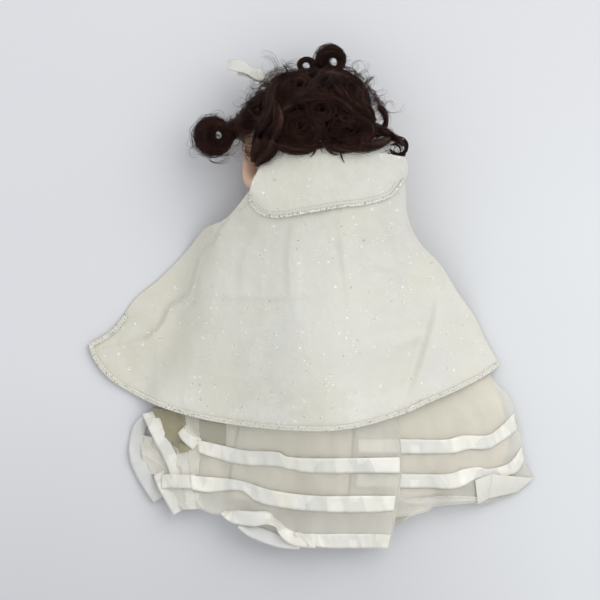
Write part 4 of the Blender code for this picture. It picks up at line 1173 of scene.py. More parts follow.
class DOLL_OT_skirt(bpy.types.Operator):
    """Make the sheer panels and the lining of the skirt"""

    bl_idname = "doll.skirt"
    bl_label = "Skirt"

    # Each sheet: its edges, its form and level, the solid that it shows, rows, columns, cut and cut area
    sheets = {
        "lining_cloth": (lining_pixels, panel_height, lining_lift, "lining_back", 90, 120,
                         (0.25, 0.19), 0.036),
        "sheer_right": (right_panel_pixels, panel_height, right_lift, "overskirt_right", 110, 100,
                        (0.15, 0.21), 0.02),
        "sheer_left": (left_panel_pixels, panel_height, left_lift, "overskirt_left", 120, 110,
                       (0.17, 0.21), 0.03),
        "front_lining_cloth": (front_lining_pixels, front_height, front_lining_level, "lining_front", 60, 60,
                               (0.22, 0.17), 0.028),
        "sheer_front": (front_panel_pixels, front_height, front_level, "overskirt_front", 70, 70,
                        (0.24, 0.2), 0.036),
    }
    seam_lines = ((362, 300), (349, 500)), ((262, 300), (226, 494))
    seam_radius = 0.8 * mm
    seam_rise = 0.5 * mm
    hem_radius = 0.28 * mm
    hem_cover = 0.6

    def execute(self, context):
        settings = context.scene.doll_cloth
        finishes = {"organza": sheer_finish("organza_finish", settings.organza_color, settings.sheer_cover),
                    "lining": taffeta_finish("lining_finish", settings.lining_color)}
        for name, (edges, form, level, node, rows, columns, cut, area) in self.sheets.items():
            grid = draped(pixel_patch(*edges, rows, columns), form, level)
            slot = "lining" if "lining" in name else "organza"
            cloth = sheet_object(name, grid, cut, finishes[slot], settings.sheer_thickness, slot, node)
        self.make_seams()
        self.make_hems(settings)
        return {"FINISHED"}

    def make_hems(self, settings):
        """Rolled hems along the lower edge of both back panels and up their right side."""
        bundle = Bundle()
        for (_, bottom, _, right), lift in ((left_panel_pixels, left_lift), (right_panel_pixels, right_lift)):
            for line in (smooth_line(bottom, 200), smooth_line(right, 200)[100:]):
                bundle.add_tube(draped(from_pixels(line), panel_height, lift), self.hem_radius, 6, 0.4)
        finish = sheer_finish("organza_hem_finish", times(settings.organza_color, 1.08), self.hem_cover)
        bundle.piece("organza_hems", finish, "doll_body", "organza")

    def make_seams(self):
        """Narrow turned seams that run down the lining."""
        bundle = Bundle()
        for line in self.seam_lines:
            path = draped(from_pixels(smooth_line(line, 60)), panel_height, lining_lift)
            path[:, 2] += self.seam_rise
            bundle.add_tube(path, self.seam_radius, 6, 0.2)
        bundle.piece("lining_seams", taffeta_finish("seam_finish", tint(120, 108, 86)), "doll_body", "lining")


class DOLL_OT_ribbons(bpy.types.Operator):
    """Sew the rows of satin ribbon on the skirt's panels"""

    bl_idname = "doll.ribbons"
    bl_label = "Ribbons"

    rows, columns = 7, 90
    # The lowest right row turns down across its width, so it shows edge on
    turned = "satin_right_3"
    turned_width = 8.0 * mm
    lowest = 0.3 * mm
    # The right rows lie flat under the left panel, up to this pixel
    left_panel_edge = 399

    def execute(self, context):
        settings = context.scene.doll_cloth
        finish = satin_finish("ribbon_finish", settings.ribbon_color)
        for side, rows, lift in (("left", left_rows, left_lift), ("right", right_rows, right_lift),
                                 ("front", front_rows, front_ribbon_level)):
            for number, (upper, lower) in enumerate(rows, 1):
                self.make_row(side, number, upper, lower, lift, finish, settings)
        return {"FINISHED"}

    def height(self, x, y, side, lift):
        """The panel under a ribbon and its puckers, none where the right rows lie under the left panel."""
        if side == "front":
            return front_height(x, y, lift)
        puckers = 1.1 * mm * creases(x + 0.3 * y, 0.12 * y, 11 * mm, 6.4)
        puckers += 0.4 * mm * creases(x, 0.5 * y, 4.5 * mm, 9.1)
        if side == "right":
            puckers = puckers * smooth_step(0, 6 * mm, x - from_pixels((self.left_panel_edge, 0))[0])
        return panel_height(x, y, lift + ribbon_lift) + puckers

    def make_row(self, side, number, upper, lower, lift, finish, settings):
        name = f"satin_{side}_{number}"
        top, bottom = (from_pixels(smooth_line(line, self.columns)) for line in (upper, lower))
        share = np.linspace(0, 1, self.rows)[:, None, None]
        grid = draped((1 - share) * top[None] + share * bottom[None], self.height, side, lift)
        seen = np.linalg.norm(bottom - top, axis=1)
        if name == self.turned:
            grid[..., 2] -= share[..., 0] * np.sqrt(np.maximum(0, self.turned_width ** 2 - seen ** 2))[None]
        grid[..., 2] = np.maximum(grid[..., 2], self.lowest)
        cut = (round(run_length(top), 3), max(least_width, round(float(seen.mean()), 4)))
        ribbon = sheet_object(name, grid, cut, finish, settings.sheer_thickness, "ribbon",
                              f"ribbon_{side}_{number}")


# Loose cloth stays this high. Its cut is at least this long and wide, and this share of it is cloth
loose_floor = 0.4 * mm
least_length = 0.011
least_width = 0.01
least_area = 0.31


def loose_ribbon(name, spine, finish, thickness, *nodes, body="doll_body", over=None):
    """A ribbon along (pixel x, pixel y, height in mm, half width in mm, tilt in degrees)."""
    points = smooth_line([(*from_pixels(row[:2]), row[2] * mm, row[3] * mm, math.radians(row[4]))
                          for row in spine], 60)
    path, half, tilt = points[:, :3], points[:, 3], points[:, 4]
    if over:
        path[:, 2] += over(path[:, 0], path[:, 1])
    ahead = heading_along(path)
    side = unit(np.cross(ahead, (0, 0, 1)))
    upward = np.cross(side, ahead)
    across = side * np.cos(tilt)[:, None] + upward * np.sin(tilt)[:, None]
    share = np.linspace(-1, 1, 7)[:, None, None]
    grid = path[None] - share * (across * half[:, None])[None]
    grid[..., 2] += 0.35 * mm * creases(grid[..., 0], grid[..., 1], 9 * mm, 3.3)
    grid[..., 2] = np.maximum(grid[..., 2], loose_floor)
    cut = (max(least_length, round(run_length(path), 3)), max(least_width, round(2 * float(half.mean()), 4)))
    return sheet_object(name, grid, cut, finish, thickness, "ribbon", *nodes, body=body), cut


class DOLL_OT_bunch(bpy.types.Operator):
    """Make the bunched left end of the skirt with its twisted ribbon loops, and the flap at the right"""

    bl_idname = "doll.bunch"
    bl_label = "Bunched end"

    # The pixels between which the bunch sinks, and how high it stays
    outer_pixel, inner_pixel = 132, 192
    sunk = 0.45
    grey_ribbons = "bunch_ribbon_2", "twist_ribbon_back"
    facet_steps = 30

    def execute(self, context):
        settings = context.scene.doll_cloth
        thickness = settings.sheer_thickness
        satin = satin_finish("loop_ribbon_finish", times(settings.ribbon_color, 0.97))
        grey = sheer_finish("bunch_grey_finish", tint(229, 229, 225), 0.8)
        for ribbons, over in ((bunch_ribbons, self.on_bunch), (twist_ribbons, self.on_ribbons)):
            for name, spine in ribbons.items():
                finish = grey if name in self.grey_ribbons else satin
                ribbon, cut = loose_ribbon(name, spine, finish, thickness, over=over)
        # Painted shade: dark khaki sheer for the facets turned away from the light.
        shaded = sheer_finish("bunch_shade_finish", tint(178, 170, 140), 0.74)
        pale = sheer_finish("bunch_finish", settings.organza_color, 0.72)
        flap = sheer_finish("flap_finish", tint(236, 233, 224), 0.85)
        # Painted shade: a darker sheer patch under the cape's hem
        shaded_end = sheer_finish("shaded_end_finish", tint(190, 187, 166), 0.36)
        for facets, finish, over, crease in ((shaded_facets, shaded, self.on_bunch, 1.3 * mm),
                                             (pale_facets, pale, self.on_bunch, 1.3 * mm),
                                             (right_flaps, flap, self.on_right, 0.4 * mm),
                                             (shaded_end_patches, shaded_end, self.on_left, 0.1 * mm)):
            for name, corners in facets.items():
                self.make_facet(name, corners, finish, thickness, over, crease)
        return {"FINISHED"}

    def on_bunch(self, x, y):
        """The bunch sinks from the skirt's height towards the floor as it runs out to the left."""
        outer, inner = from_pixels(((self.outer_pixel, 0), (self.inner_pixel, 0)))[:, 0]
        return panel_height(x, y, lining_lift) * (self.sunk + (1 - self.sunk) * smooth_step(outer, inner, x))

    def on_ribbons(self, x, y):
        return panel_height(x, y, top_lift)

    def on_right(self, x, y):
        return panel_height(x, y, right_lift + ribbon_lift)

    def on_left(self, x, y):
        return panel_height(x, y, left_lift)

    def make_facet(self, name, corners, finish, thickness, over, crease):
        """A flat of folded cloth between four corners."""
        first, second, third, fourth = (np.array([*from_pixels((x, y)), z * mm]) for x, y, z in corners)
        share = np.linspace(0, 1, self.facet_steps)[:, None]
        grid = patch(*((1 - share) * start + share * end for start, end in
                       ((first, second), (fourth, third), (first, fourth), (second, third))))
        grid[..., 2] += over(grid[..., 0], grid[..., 1])
        grid[..., 2] += crease * creases(grid[..., 0], grid[..., 1], 9 * mm, 2.7)
        grid[..., 2] = np.maximum(grid[..., 2], loose_floor)
        runs = (np.linalg.norm(np.diff(grid, axis=axis), axis=-1).sum(axis) for axis in (1, 0))
        cut = tuple(max(least_length, round(float(run.max()), 3)) for run in runs)
        facet = sheet_object(name, grid, cut, finish, thickness, "organza")
        spans = grid[1:, 1:] - grid[:-1, :-1], grid[1:, :-1] - grid[:-1, 1:]
        area = float(np.linalg.norm(np.cross(*spans), axis=-1).sum() / 2)
        area = min(max(area, least_area * cut[0] * cut[1]), cut[0] * cut[1])


# Wig

def envelope_height_at(x, y):
    """The height of the wig's outside over a place."""
    share = 1 - ((x - head_centre.x) / envelope_across) ** 2 - ((y - head_centre.y) / envelope_along) ** 2
    return head_centre.z + envelope_height * np.sqrt(np.clip(share, 0, 1))


class Lock:
    """A lock of hair: a grooved core along a line, with clumps of strands round it."""

    steps = 60
    share = np.linspace(0, 1, steps)
    strand_points = 11
    core_sides = 12

    def __init__(self, path, radii):
        self.path = path
        self.radii = radii
        self.normals, self.binormals = frames_along(path)[1:]

    def add_core(self, bundle, fill, twist, seed):
        """The dark body of the lock, grooved along its twist."""
        angles = np.arange(self.core_sides) * 2 * math.pi / self.core_sides
        grooves = 1 + 0.12 * np.cos(3 * angles[None] - 2 * math.pi * twist * self.share[:, None] + seed)
        bundle.add_tube(self.path, (self.radii * fill)[:, None] * grooves, self.core_sides, seed)

    def add_hair(self, bundle, count, radius, rng, clumps, reach, spread, twist, frizz):
        """Strands in clumps that wind round the core and pinch at their ends. Each strand waves."""
        share = np.linspace(0, 1, self.strand_points)[None]
        each = count // clumps
        for clump in range(clumps):
            first, last = rng.uniform(0, 0.10), rng.uniform(0.88, 1.0)
            starts = np.clip(first + rng.normal(0, 0.04, each), 0, 0.3)[:, None]
            ends = np.clip(last + rng.normal(0, 0.04, each), 0.7, 1)[:, None]
            marks = starts + (ends - starts) * share
            turn = 2 * math.pi * (clump / clumps + rng.uniform(-0.04, 0.04)
                                  + twist * rng.uniform(0.6, 1.3) * marks)
            turn += (rng.uniform(0.1, 0.5)
                     * np.sin(2 * math.pi * marks * rng.uniform(0.6, 1.6) + any_phase(rng)))
            offsets = rng.normal(0, 1, (2, each, 1)) * spread * (0.45 + 0.55 * np.sin(math.pi * marks))
            for k in range(2):
                for waves in (rng.uniform(1.5, 4), rng.uniform(4, 9)):
                    phase = any_phase(rng, (each, 1)) * 0.5 + any_phase(rng)
                    size = frizz * rng.uniform(0.2, 1.2, (each, 1)) * (2.0 / waves) ** 0.5
                    offsets[k] = offsets[k] + size * np.sin(2 * math.pi * waves * marks + phase)
            radii = np.interp(marks, self.share, self.radii)
            along = (reach * np.cos(turn) + offsets[0]) * radii
            over = (reach * np.sin(turn) + offsets[1]) * radii
            path, normals, binormals = (read_at(marks, self.share, values)
                                        for values in (self.path, self.normals, self.binormals))
            paths = path + along[..., None] * normals + over[..., None] * binormals
            thin = np.sin(math.pi * np.linspace(0.04, 0.96, self.strand_points)) ** 0.4
            sizes = radius * thin[None] * rng.uniform(0.6, 1.3, each)[:, None]
            tone = rng.uniform(0, 1) * 0.6
            bundle.add(paths, normals, binormals, sizes, 3, tone + rng.uniform(0, 0.4, each))


def any_phase(rng, shape=None):
    return rng.uniform(0, 6.28, shape)


def lock_radii(radius):
    """A lock's radius along it, thinner at both ends."""
    return radius * np.interp(Lock.share, [0, 0.15, 0.5, 0.85, 1], [0.5, 0.92, 1.0, 0.85, 0.35])


def seen_at(path):
    """Move high places towards the picture's middle, so that the camera sees them at their pixels."""
    middle = from_pixels((picture_side / 2, picture_side / 2))
    share = 1 - (path[:, 2:] - sharp_height) / camera_distance
    path[:, :2] = middle + (path[:, :2] - middle) * share
    return path


def clear_of_cloth(path, radii):
    """Lift a lock that would sink into the collar."""
    over_collar = smooth_step(waist.y + 70 * mm, waist.y + 64 * mm, path[:, 1])
    floor = collar_height(path[:, 0], path[:, 1]) + radii + 0.6 * mm
    wanted = np.maximum(path[:, 2], floor)
    path[:, 2] += (wanted - path[:, 2]) * over_collar
    return seen_at(path)

def wig_lock(x, y, z, radii):
    """A lock through places on the wig, clear of the collar."""
    return Lock(clear_of_cloth(np.stack([x, y, z], axis=1), radii), radii)


def wandering(start, angles, length):
    """Places along a line that sets out from a place, at an angle for each step."""
    return (start[0] + np.cumsum(np.cos(angles)) * length / len(angles),
            start[1] + np.cumsum(np.sin(angles)) * length / len(angles))


class DOLL_OT_wig(bpy.types.Operator):
    """Dress the upper wig: its rolled curls and the locks between them"""

    bl_idname = "doll.wig"
    bl_label = "Wig"

    wild_wisps = 64
    edge_wisps = 34
    # Each head's dome: name, solid, sign of its direction, body, neck, stretch, puff and combed strands
    caps = (("wig_crown", "upper_wig_cap", 1, "upper_head_turning", upper_neck, 1.15, 0.3 * mm, 1500),
            ("lower_wig_crown", "lower_wig_cap", -1, "lower_head_turning", lower_neck, 1.0, 1.2 * mm, 700))

    def execute(self, context):
        settings = context.scene.doll_hair
        finish = hair_finish("hair_finish", settings.hair_color, settings.light_color)
        rng = np.random.default_rng(11)
        low, high, nape, crown, wisps = (Bundle() for _ in range(5))
        for seed, (name, shape) in enumerate(barrel_curls.items()):
            self.add_barrel(low if name in low_curls else high, shape, settings, rng, seed)
        for seed, (name, (points, radius)) in enumerate(locks.items()):
            self.add_lock(nape if name in nape_locks else crown, points, radius, settings, rng, seed)
        self.add_wild(wisps, settings, rng)
        self.add_edge_arcs(wisps, settings, rng)
        for bundle, name, *nodes in ((low, "wig_low_curls", "low_roll"),
                                     (high, "wig_high_curls", "high_roll"),
                                     (nape, "wig_nape_locks", "nape_roll"),
                                     (crown, "wig_crown_locks", "crown_roll"),
                                     (wisps, "wig_wisps")):
            bundle.piece(name, finish, "upper_head_turning", "hair", *nodes)
        for row in self.caps:
            cap = WigCap(*row)
            cap.make(finish)
            cap.comb(finish, settings, rng)
        return {"FINISHED"}

    def add_barrel(self, bundle, shape, settings, rng, seed):
        """Clumps that run round and inwards, like the end of a rolled curl, over a dark core."""
        centre, radii, depth, way, hole, clumps = shape
        centre = from_pixels(centre)
        rx, ry = (radius * pixel for radius in radii)
        self.add_barrel_core(bundle, centre, (rx, ry), depth, way, hole, seed)
        share = Lock.share
        for clump in range(clumps):
            part = hole + (0.97 - hole) * ((clump + rng.uniform(0.1, 0.9)) / clumps) ** 0.8
            start = rng.uniform(0, 2 * math.pi)
            angles = start + way * 2 * math.pi * rng.uniform(0.45, 0.95) * share
            reach = part * (1.06 - 0.26 * share + 0.05 * np.sin(6 * share + any_phase(rng)))
            x = centre[0] + rx * reach * np.cos(angles)
            y = centre[1] + ry * reach * np.sin(angles)
            dip = 4.5 * np.exp(-(reach / 0.34) ** 2) + 2.6 * np.clip(reach, 0, 1.2) ** 4
            z = envelope_height_at(x, y) - (depth - 1.2 + dip + rng.uniform(-1.2, 0.9)) * mm
            z += 0.9 * mm * np.sin(3 * share * math.pi + any_phase(rng))
            width = rng.uniform(0.9, 1.7) * mm * (0.45 + 0.55 * part)
            swell = 0.5 + 0.5 * np.sin(math.pi * np.clip(share * 1.05, 0, 1)) ** 0.6
            lock = wig_lock(x, y, z, width * swell)
            lock.add_hair(bundle, settings.strands // 2, settings.strand_radius, rng, 1, 0.0, 0.62, 0.3, 0.16)

    def add_barrel_core(self, bundle, centre, radii, depth, way, hole, seed):
        """A thick dark lock that winds inwards under the clumps."""
        share = Lock.share
        angles = seed + way * 2 * math.pi * 2.2 * share
        tube = 0.36 * min(radii)
        reach = 1 - (1 - hole) * share
        x = centre[0] + (radii[0] - tube) * reach * np.cos(angles)
        y = centre[1] + (radii[1] - tube) * reach * np.sin(angles)
        z = envelope_height_at(x, y) - (depth + 3.2) * mm - 3 * mm * share - tube * 0.5
        wig_lock(x, y, z, tube * (1 - 0.4 * share)).add_core(bundle, 0.95, 1.5, seed * 0.7)

    def add_lock(self, bundle, points, radius, settings, rng, seed):
        """A core with combed clumps round it, and a few finer strands that stand off."""
        line = smooth_line([(*from_pixels(point[:2]), point[2] * mm) for point in points], Lock.steps)
        x, y, depth = line.T
        z = envelope_height_at(x, y) - depth + 0.7 * mm * np.cos(4 * math.pi * Lock.share + seed)
        x = x + 0.6 * mm * np.sin(5 * math.pi * Lock.share + seed)
        lock = wig_lock(x, y, z, lock_radii(radius * mm))
        lock.add_core(bundle, 0.74, 1.2, seed * 1.3)
        lock.add_hair(bundle, settings.strands * 3, settings.strand_radius, rng, 8, 0.76, 0.26, 0.7, 0.10)
        lock.add_hair(bundle, settings.strands // 3, settings.strand_radius * 0.7, rng,
                      6, 1.0, 0.42, 0.6, 0.28)

    def add_wild(self, bundle, settings, rng):
        """Wisps that cross the rolled curls at all angles, and break up their outlines."""
        share = Lock.share
        for wisp in range(self.wild_wisps):
            around, out = rng.uniform(0, 2 * math.pi), rng.uniform(0.1, 1.0) ** 0.5
            start = from_pixels((318 + 46 * out * math.cos(around), 110 - 27 * out * math.sin(around)))
            heading, bend = rng.uniform(0, 2 * math.pi), rng.uniform(1.2, 4.5) * rng.choice((-1, 1))
            x, y = wandering(start, heading + bend * share, rng.uniform(14, 30) * mm)
            z = envelope_height_at(x, y) + (rng.uniform(-4.5, -0.5) + 1.2 * np.sin(4 * share + wisp)) * mm
            radii = rng.uniform(0.5, 1.2) * mm * (0.4 + 0.6 * np.sin(math.pi * share))
            lock = wig_lock(x, y, z, radii)
            lock.add_hair(bundle, settings.strands // 4, settings.strand_radius * 0.9, rng,
                          1, 0.0, 0.7, 0.2, 0.3)

    def add_edge_arcs(self, bundle, settings, rng):
        """Curved wisps along the wig's outline that turn back into it."""
        share = Lock.share
        for wisp in range(self.edge_wisps):
            around = math.radians(rng.uniform(-25, 200))
            way = rng.choice((-1, 1))
            start = from_pixels((316 + 48 * math.cos(around), 108 - 35 * math.sin(around)))
            angles = around + way * (math.pi / 2 - 0.15 + rng.uniform(1.3, 3.4) * share)
            x, y = wandering(start, angles, rng.uniform(11, 24) * mm)
            z = envelope_height_at(x, y) + (rng.uniform(-9, -3) + 1.5 * np.sin(4 * share + wisp)) * mm
            radii = rng.uniform(0.5, 1.3) * mm * (0.3 + 0.7 * np.sin(math.pi * share))
            lock = wig_lock(x, y, z, radii)
            lock.add_hair(bundle, settings.strands // 5, settings.strand_radius * 0.65, rng,
                          1, 0.0, 0.9, 0.2, 0.3)


class WigCap:
    """The hair close to a head: a dome tipped back from the face, and strands combed over it."""

    tilt = math.radians(36)
    reach = math.radians(104)
    rows, columns = 50, 100
    points, clumps = 12, 90

    def __init__(self, name, node, sign, body, neck, stretch, puff, combed):
        self.name, self.node, self.body, self.combed = name, node, body, combed
        self.centre = np.array(neck) + np.array([0, sign * head_rise, 0])
        self.stretch, self.puff = stretch, puff
        self.axis = np.array([0, sign * math.cos(self.tilt), math.sin(self.tilt)])
        self.right = np.array([1.0, 0, 0])
        self.back = np.cross(self.axis, self.right)

    def outward(self, fall, around):
        level = self.right * np.cos(around)[..., None] + self.back * np.sin(around)[..., None]
        return self.axis * np.cos(fall)[..., None] + level * np.sin(fall)[..., None]

    def dome(self, fall, around, lift=0.0):
        radius = head_radius + 1.2 * mm + self.puff * (1 - (fall / self.reach) ** 3) + lift
        waves = 1 + 0.015 * np.sin(9 * around + 6 * fall) + 0.01 * np.sin(23 * around - 8 * fall)
        points = self.outward(fall, around) * (radius * waves)[..., None]
        points[..., 0] *= self.stretch
        return points + self.centre

    def make(self, finish):
        fall = self.reach * np.linspace(0, 1, self.rows)[:, None] * np.ones((1, self.columns))
        around = np.linspace(0, 2 * math.pi, self.columns)[None] * np.ones((self.rows, 1))
        uvs = np.stack([around / math.pi, fall], axis=-1).reshape(-1, 2)
        cap = mesh_object(self.name, self.dome(fall, around).reshape(-1, 3),
                          grid_faces(self.rows, self.columns), finish, uvs)
        settle(cap, self.body, "hair", self.node)

    def comb(self, finish, settings, rng):
        """Strands in clumps that lie close to the dome."""
        points, clumps = self.points, self.clumps
        clump = rng.integers(0, clumps, self.combed)
        first = rng.uniform(0, 0.75, clumps)[clump] + rng.normal(0, 0.03, self.combed)
        last = first + rng.uniform(0.25, 0.6, clumps)[clump]
        share = np.linspace(0, 1, points)[None]
        fall = self.reach * np.clip(first[:, None] + (last - first)[:, None] * share, 0.01, 1.12)
        heading = rng.uniform(0, 2 * math.pi, clumps)[clump][:, None]
        swing = rng.uniform(0.05, 0.3, clumps)[clump][:, None]
        phase = rng.uniform(0, 6.28, clumps)[clump][:, None]
        spread = rng.normal(0, 0.06, self.combed)[:, None] * (0.6 + share)
        around = heading + spread + swing * np.sin(share * rng.uniform(3, 8, clumps)[clump][:, None] + phase)
        lift = (rng.uniform(0.1, 0.9, self.combed)[:, None] + 0.6 * np.sin(5 * share + phase)) * mm
        paths = self.dome(fall, around, lift)
        normals = self.outward(fall, around)
        ahead = unit(np.gradient(paths, axis=1))
        thin = np.sin(math.pi * np.linspace(0.05, 0.95, points)) ** 0.4
        radii = settings.strand_radius * thin[None] * rng.uniform(0.7, 1.3, (self.combed, 1))
        bundle = Bundle()
        bundle.add(paths, normals, np.cross(ahead, normals), radii, 3, rng.uniform(0, 1, self.combed))
        bundle.piece(self.name + "_strands", finish, self.body, "hair")


class DOLL_OT_curls(bpy.types.Operator):
    """Make the curls that stand out of the wig at the left, the top and the right"""

    bl_idname = "doll.curls"
    bl_label = "Curls"

    # The solids that the curls show
    nodes = {"left_curl": ["left_curl"], "top_curl": ["top_curl"], "small_curl": ["small_curl"],
             "right_loop": ["right_loop"], "low_ring_1": ["low_curl"]}

    def execute(self, context):
        settings = context.scene.doll_hair
        finish = hair_finish("curl_finish", settings.hair_color, settings.light_color)
        rng = np.random.default_rng(23)
        for seed, (name, shape) in enumerate(ring_curls.items()):
            bundle = Bundle()
            self.add_ring(bundle, shape, settings, rng, seed)
            bundle.piece("hair_" + name, finish, "upper_head_turning", "hair", *self.nodes.get(name, ()))
        return {"FINISHED"}

    def add_ring(self, bundle, shape, settings, rng, seed):
        """A lock round an off-centre hole, with a dark core where it is thick."""
        middle, radii, hole, hole_radius, height, first, turns, count = shape
        share = Lock.share
        angles = np.radians(first) + 2 * math.pi * turns * share
        outward = np.stack([np.cos(angles), np.sin(angles)], axis=1)
        outer = from_pixels(middle) + outward * np.array(radii) * pixel
        inner = from_pixels(hole) + outward * hole_radius * pixel
        tube = np.linalg.norm(outer - inner, axis=1) / 2
        flat = (outer + inner) / 2
        rise = height * mm + 0.25 * tube * np.sin(angles * 0.5 + seed) + 1.2 * mm * (share - 0.5)
        radii = tube * np.interp(share, [0, 0.08, 0.9, 1], [0.7, 1, 1, 0.6])
        lock = Lock(np.column_stack([flat, rise]), radii)
        thick = tube.max() > 2 * mm
        if thick:
            lock.add_core(bundle, 0.72, 0.6, seed * 0.9)
        lock.add_hair(bundle, count, settings.strand_radius, rng, 10 if thick else 3, 0.72, 0.28, 0.35, 0.10)
        lock.add_hair(bundle, count // 16, settings.strand_radius * 0.7, rng, 8, 0.9, 0.4, 0.5, 0.35)


class DOLL_OT_flyaways(bpy.types.Operator):
    """Scatter single loose hairs round the edge of the wig"""

    bl_idname = "doll.flyaways"
    bl_label = "Loose hairs"

    points = 12
    radius = 0.075 * mm
    # Where wisps start: a line in pixels, height, main direction in degrees, length in mm, share of them
    fringes = (
        (((238, 126), (246, 108), (260, 92), (272, 78), (288, 70)), 38, 58, 18, 0.30),
        (((340, 70), (356, 76), (370, 92), (383, 114)), 38, -52, 15, 0.36),
        (((276, 145), (300, 147), (340, 147), (378, 143)), 62, 172, 15, 0.12),
        (((198, 146), (208, 154), (222, 154), (234, 146)), 33, 165, 15, 0.07),
        (((238, 130), (244, 142), (250, 156)), 40, 112, 17, 0.12),
        (((386, 140), (394, 150), (402, 152)), 37, -100, 12, 0.06),
        (((222, 126), (232, 120), (242, 114)), 34, 30, 14, 0.05),
        (((213, 131), (217, 138), (222, 142)), 31, 55, 8, 0.03),
    )

    def execute(self, context):
        settings = context.scene.doll_hair
        finish = hair_finish("loose_hair_finish", settings.light_color, settings.light_color)
        rng = np.random.default_rng(5)
        bundle = Bundle()
        for *fringe, share in self.fringes:
            self.add_fringe(bundle, *fringe, int(settings.flyaways * share), rng)
        bundle.piece("loose_hairs", finish, "upper_head_turning", "hair")
        return {"FINISHED"}

    def add_fringe(self, bundle, line, height, heading, length, count, rng):
        """Arcs that leave the wig nearly along its edge, a few to a wisp."""
        points = self.points
        base = from_pixels(smooth_line(line, 200))
        wisps = max(4, count // 3)
        wisp = rng.integers(0, wisps, count)
        spot = rng.integers(0, 200, wisps)[wisp]
        off = np.abs(rng.normal(0, 1.3, wisps))[wisp][:, None] * mm
        out = math.radians(heading + 90)
        start = base[spot] + off * (math.cos(out), math.sin(out)) + rng.normal(0, 0.4 * mm, (count, 2))
        start = np.column_stack([start, height * mm + rng.normal(0, 4, wisps)[wisp] * mm])
        back = rng.choice((0, 1), wisps, p=(0.6, 0.4))[wisp]
        outward = rng.normal(2, 13, wisps)[wisp] + rng.normal(0, 4, count)
        turn = np.radians(heading + np.where(back, -outward, outward)) + back * math.pi
        inward = rng.choice((-1, 1), wisps, p=(0.85, 0.15))[wisp] * np.where(back, -1, 1)
        bend = inward * rng.uniform(1.4, 4.0, wisps)[wisp] + rng.normal(0, 0.2, count)
        share = np.linspace(0, 1, points)[None]
        reach = (length * mm * rng.uniform(0.45, 1.15, wisps)[wisp] * rng.uniform(0.75, 1.1, count))[:, None]
        turned = turn[:, None] + bend[:, None] * share
        x = np.cumsum(np.cos(turned) * reach / points, axis=1)
        y = np.cumsum(np.sin(turned) * reach / points, axis=1)
        curl = rng.uniform(0.1, 0.5, count)[:, None] * mm
        phase = any_phase(rng, count)[:, None]
        x += curl * np.sin(share * rng.uniform(4, 12, count)[:, None] + phase)
        z = curl * 3 * np.cos(share * rng.uniform(2, 6, count)[:, None] + phase) - 3 * mm * share ** 2
        paths = start[:, None, :] + np.stack([x, y, z], axis=-1)
        normals = np.broadcast_to(np.array([0.0, 0.0, 1.0]), paths.shape)
        side = np.stack([-np.sin(turned), np.cos(turned), np.zeros_like(turned)], axis=-1)
        radii = self.radius * (1 - 0.5 * share) * rng.uniform(0.7, 1.2, (count, 1))
        bundle.add(paths, normals, side, radii, 3, rng.uniform(0, 1, count))


class DOLL_OT_bow(bpy.types.Operator):
    """Tie the pale ribbon bow behind the wig"""

    bl_idname = "doll.bow"
    bl_label = "Hair bow"

    def execute(self, context):
        settings = context.scene.doll_cloth
        finish = sheer_finish("bow_finish", times(settings.ribbon_color, 0.88), 0.8)
        for name, spine in bow_ribbons.items():
            nodes = ["hair_bow"] if name == "hair_bow_loop" else []
            ribbon, cut = loose_ribbon(name, spine, finish, settings.sheer_thickness, *nodes,
                                       body="upper_head_turning")
        return {"FINISHED"}


# Heads, bodies and what joins them

def skin_distance(directions):
    """Distance of the skin from the head's centre, along directions with the face towards -z."""
    x, y, z = (directions[..., k] for k in range(3))
    across, up = x * head_radius / mm, y * head_radius / mm
    radius = head_radius * (1 - 0.05 * x ** 2 - 0.03 * smooth_step(0, 1, -y) * np.abs(x))
    front = smooth_step(0.1, 0.55, -z)
    for a, b, sa, sb, rise in face_swellings:
        radius = radius + front * rise * mm * np.exp(-((across - a) / sa) ** 2 - ((up - b) / sb) ** 2)
    return radius


# Swellings of the face: place across and up, spread across and up, height, all in mm
face_swellings = (
    (0, -1.5, 3.0, 3.8, 2.6), (0, 3.0, 2.0, 4.5, 0.9), (10, -6, 7.5, 6.5, 1.3), (-10, -6, 7.5, 6.5, 1.3),
    (9, 3, 5.0, 3.2, -1.1), (-9, 3, 5.0, 3.2, -1.1), (0, -10.2, 4.2, 1.5, 1.1), (0, -12.6, 3.4, 1.3, 0.9),
    (0, -18, 5.0, 4.0, 1.6), (0, 12, 12.0, 7.0, 0.5),
)


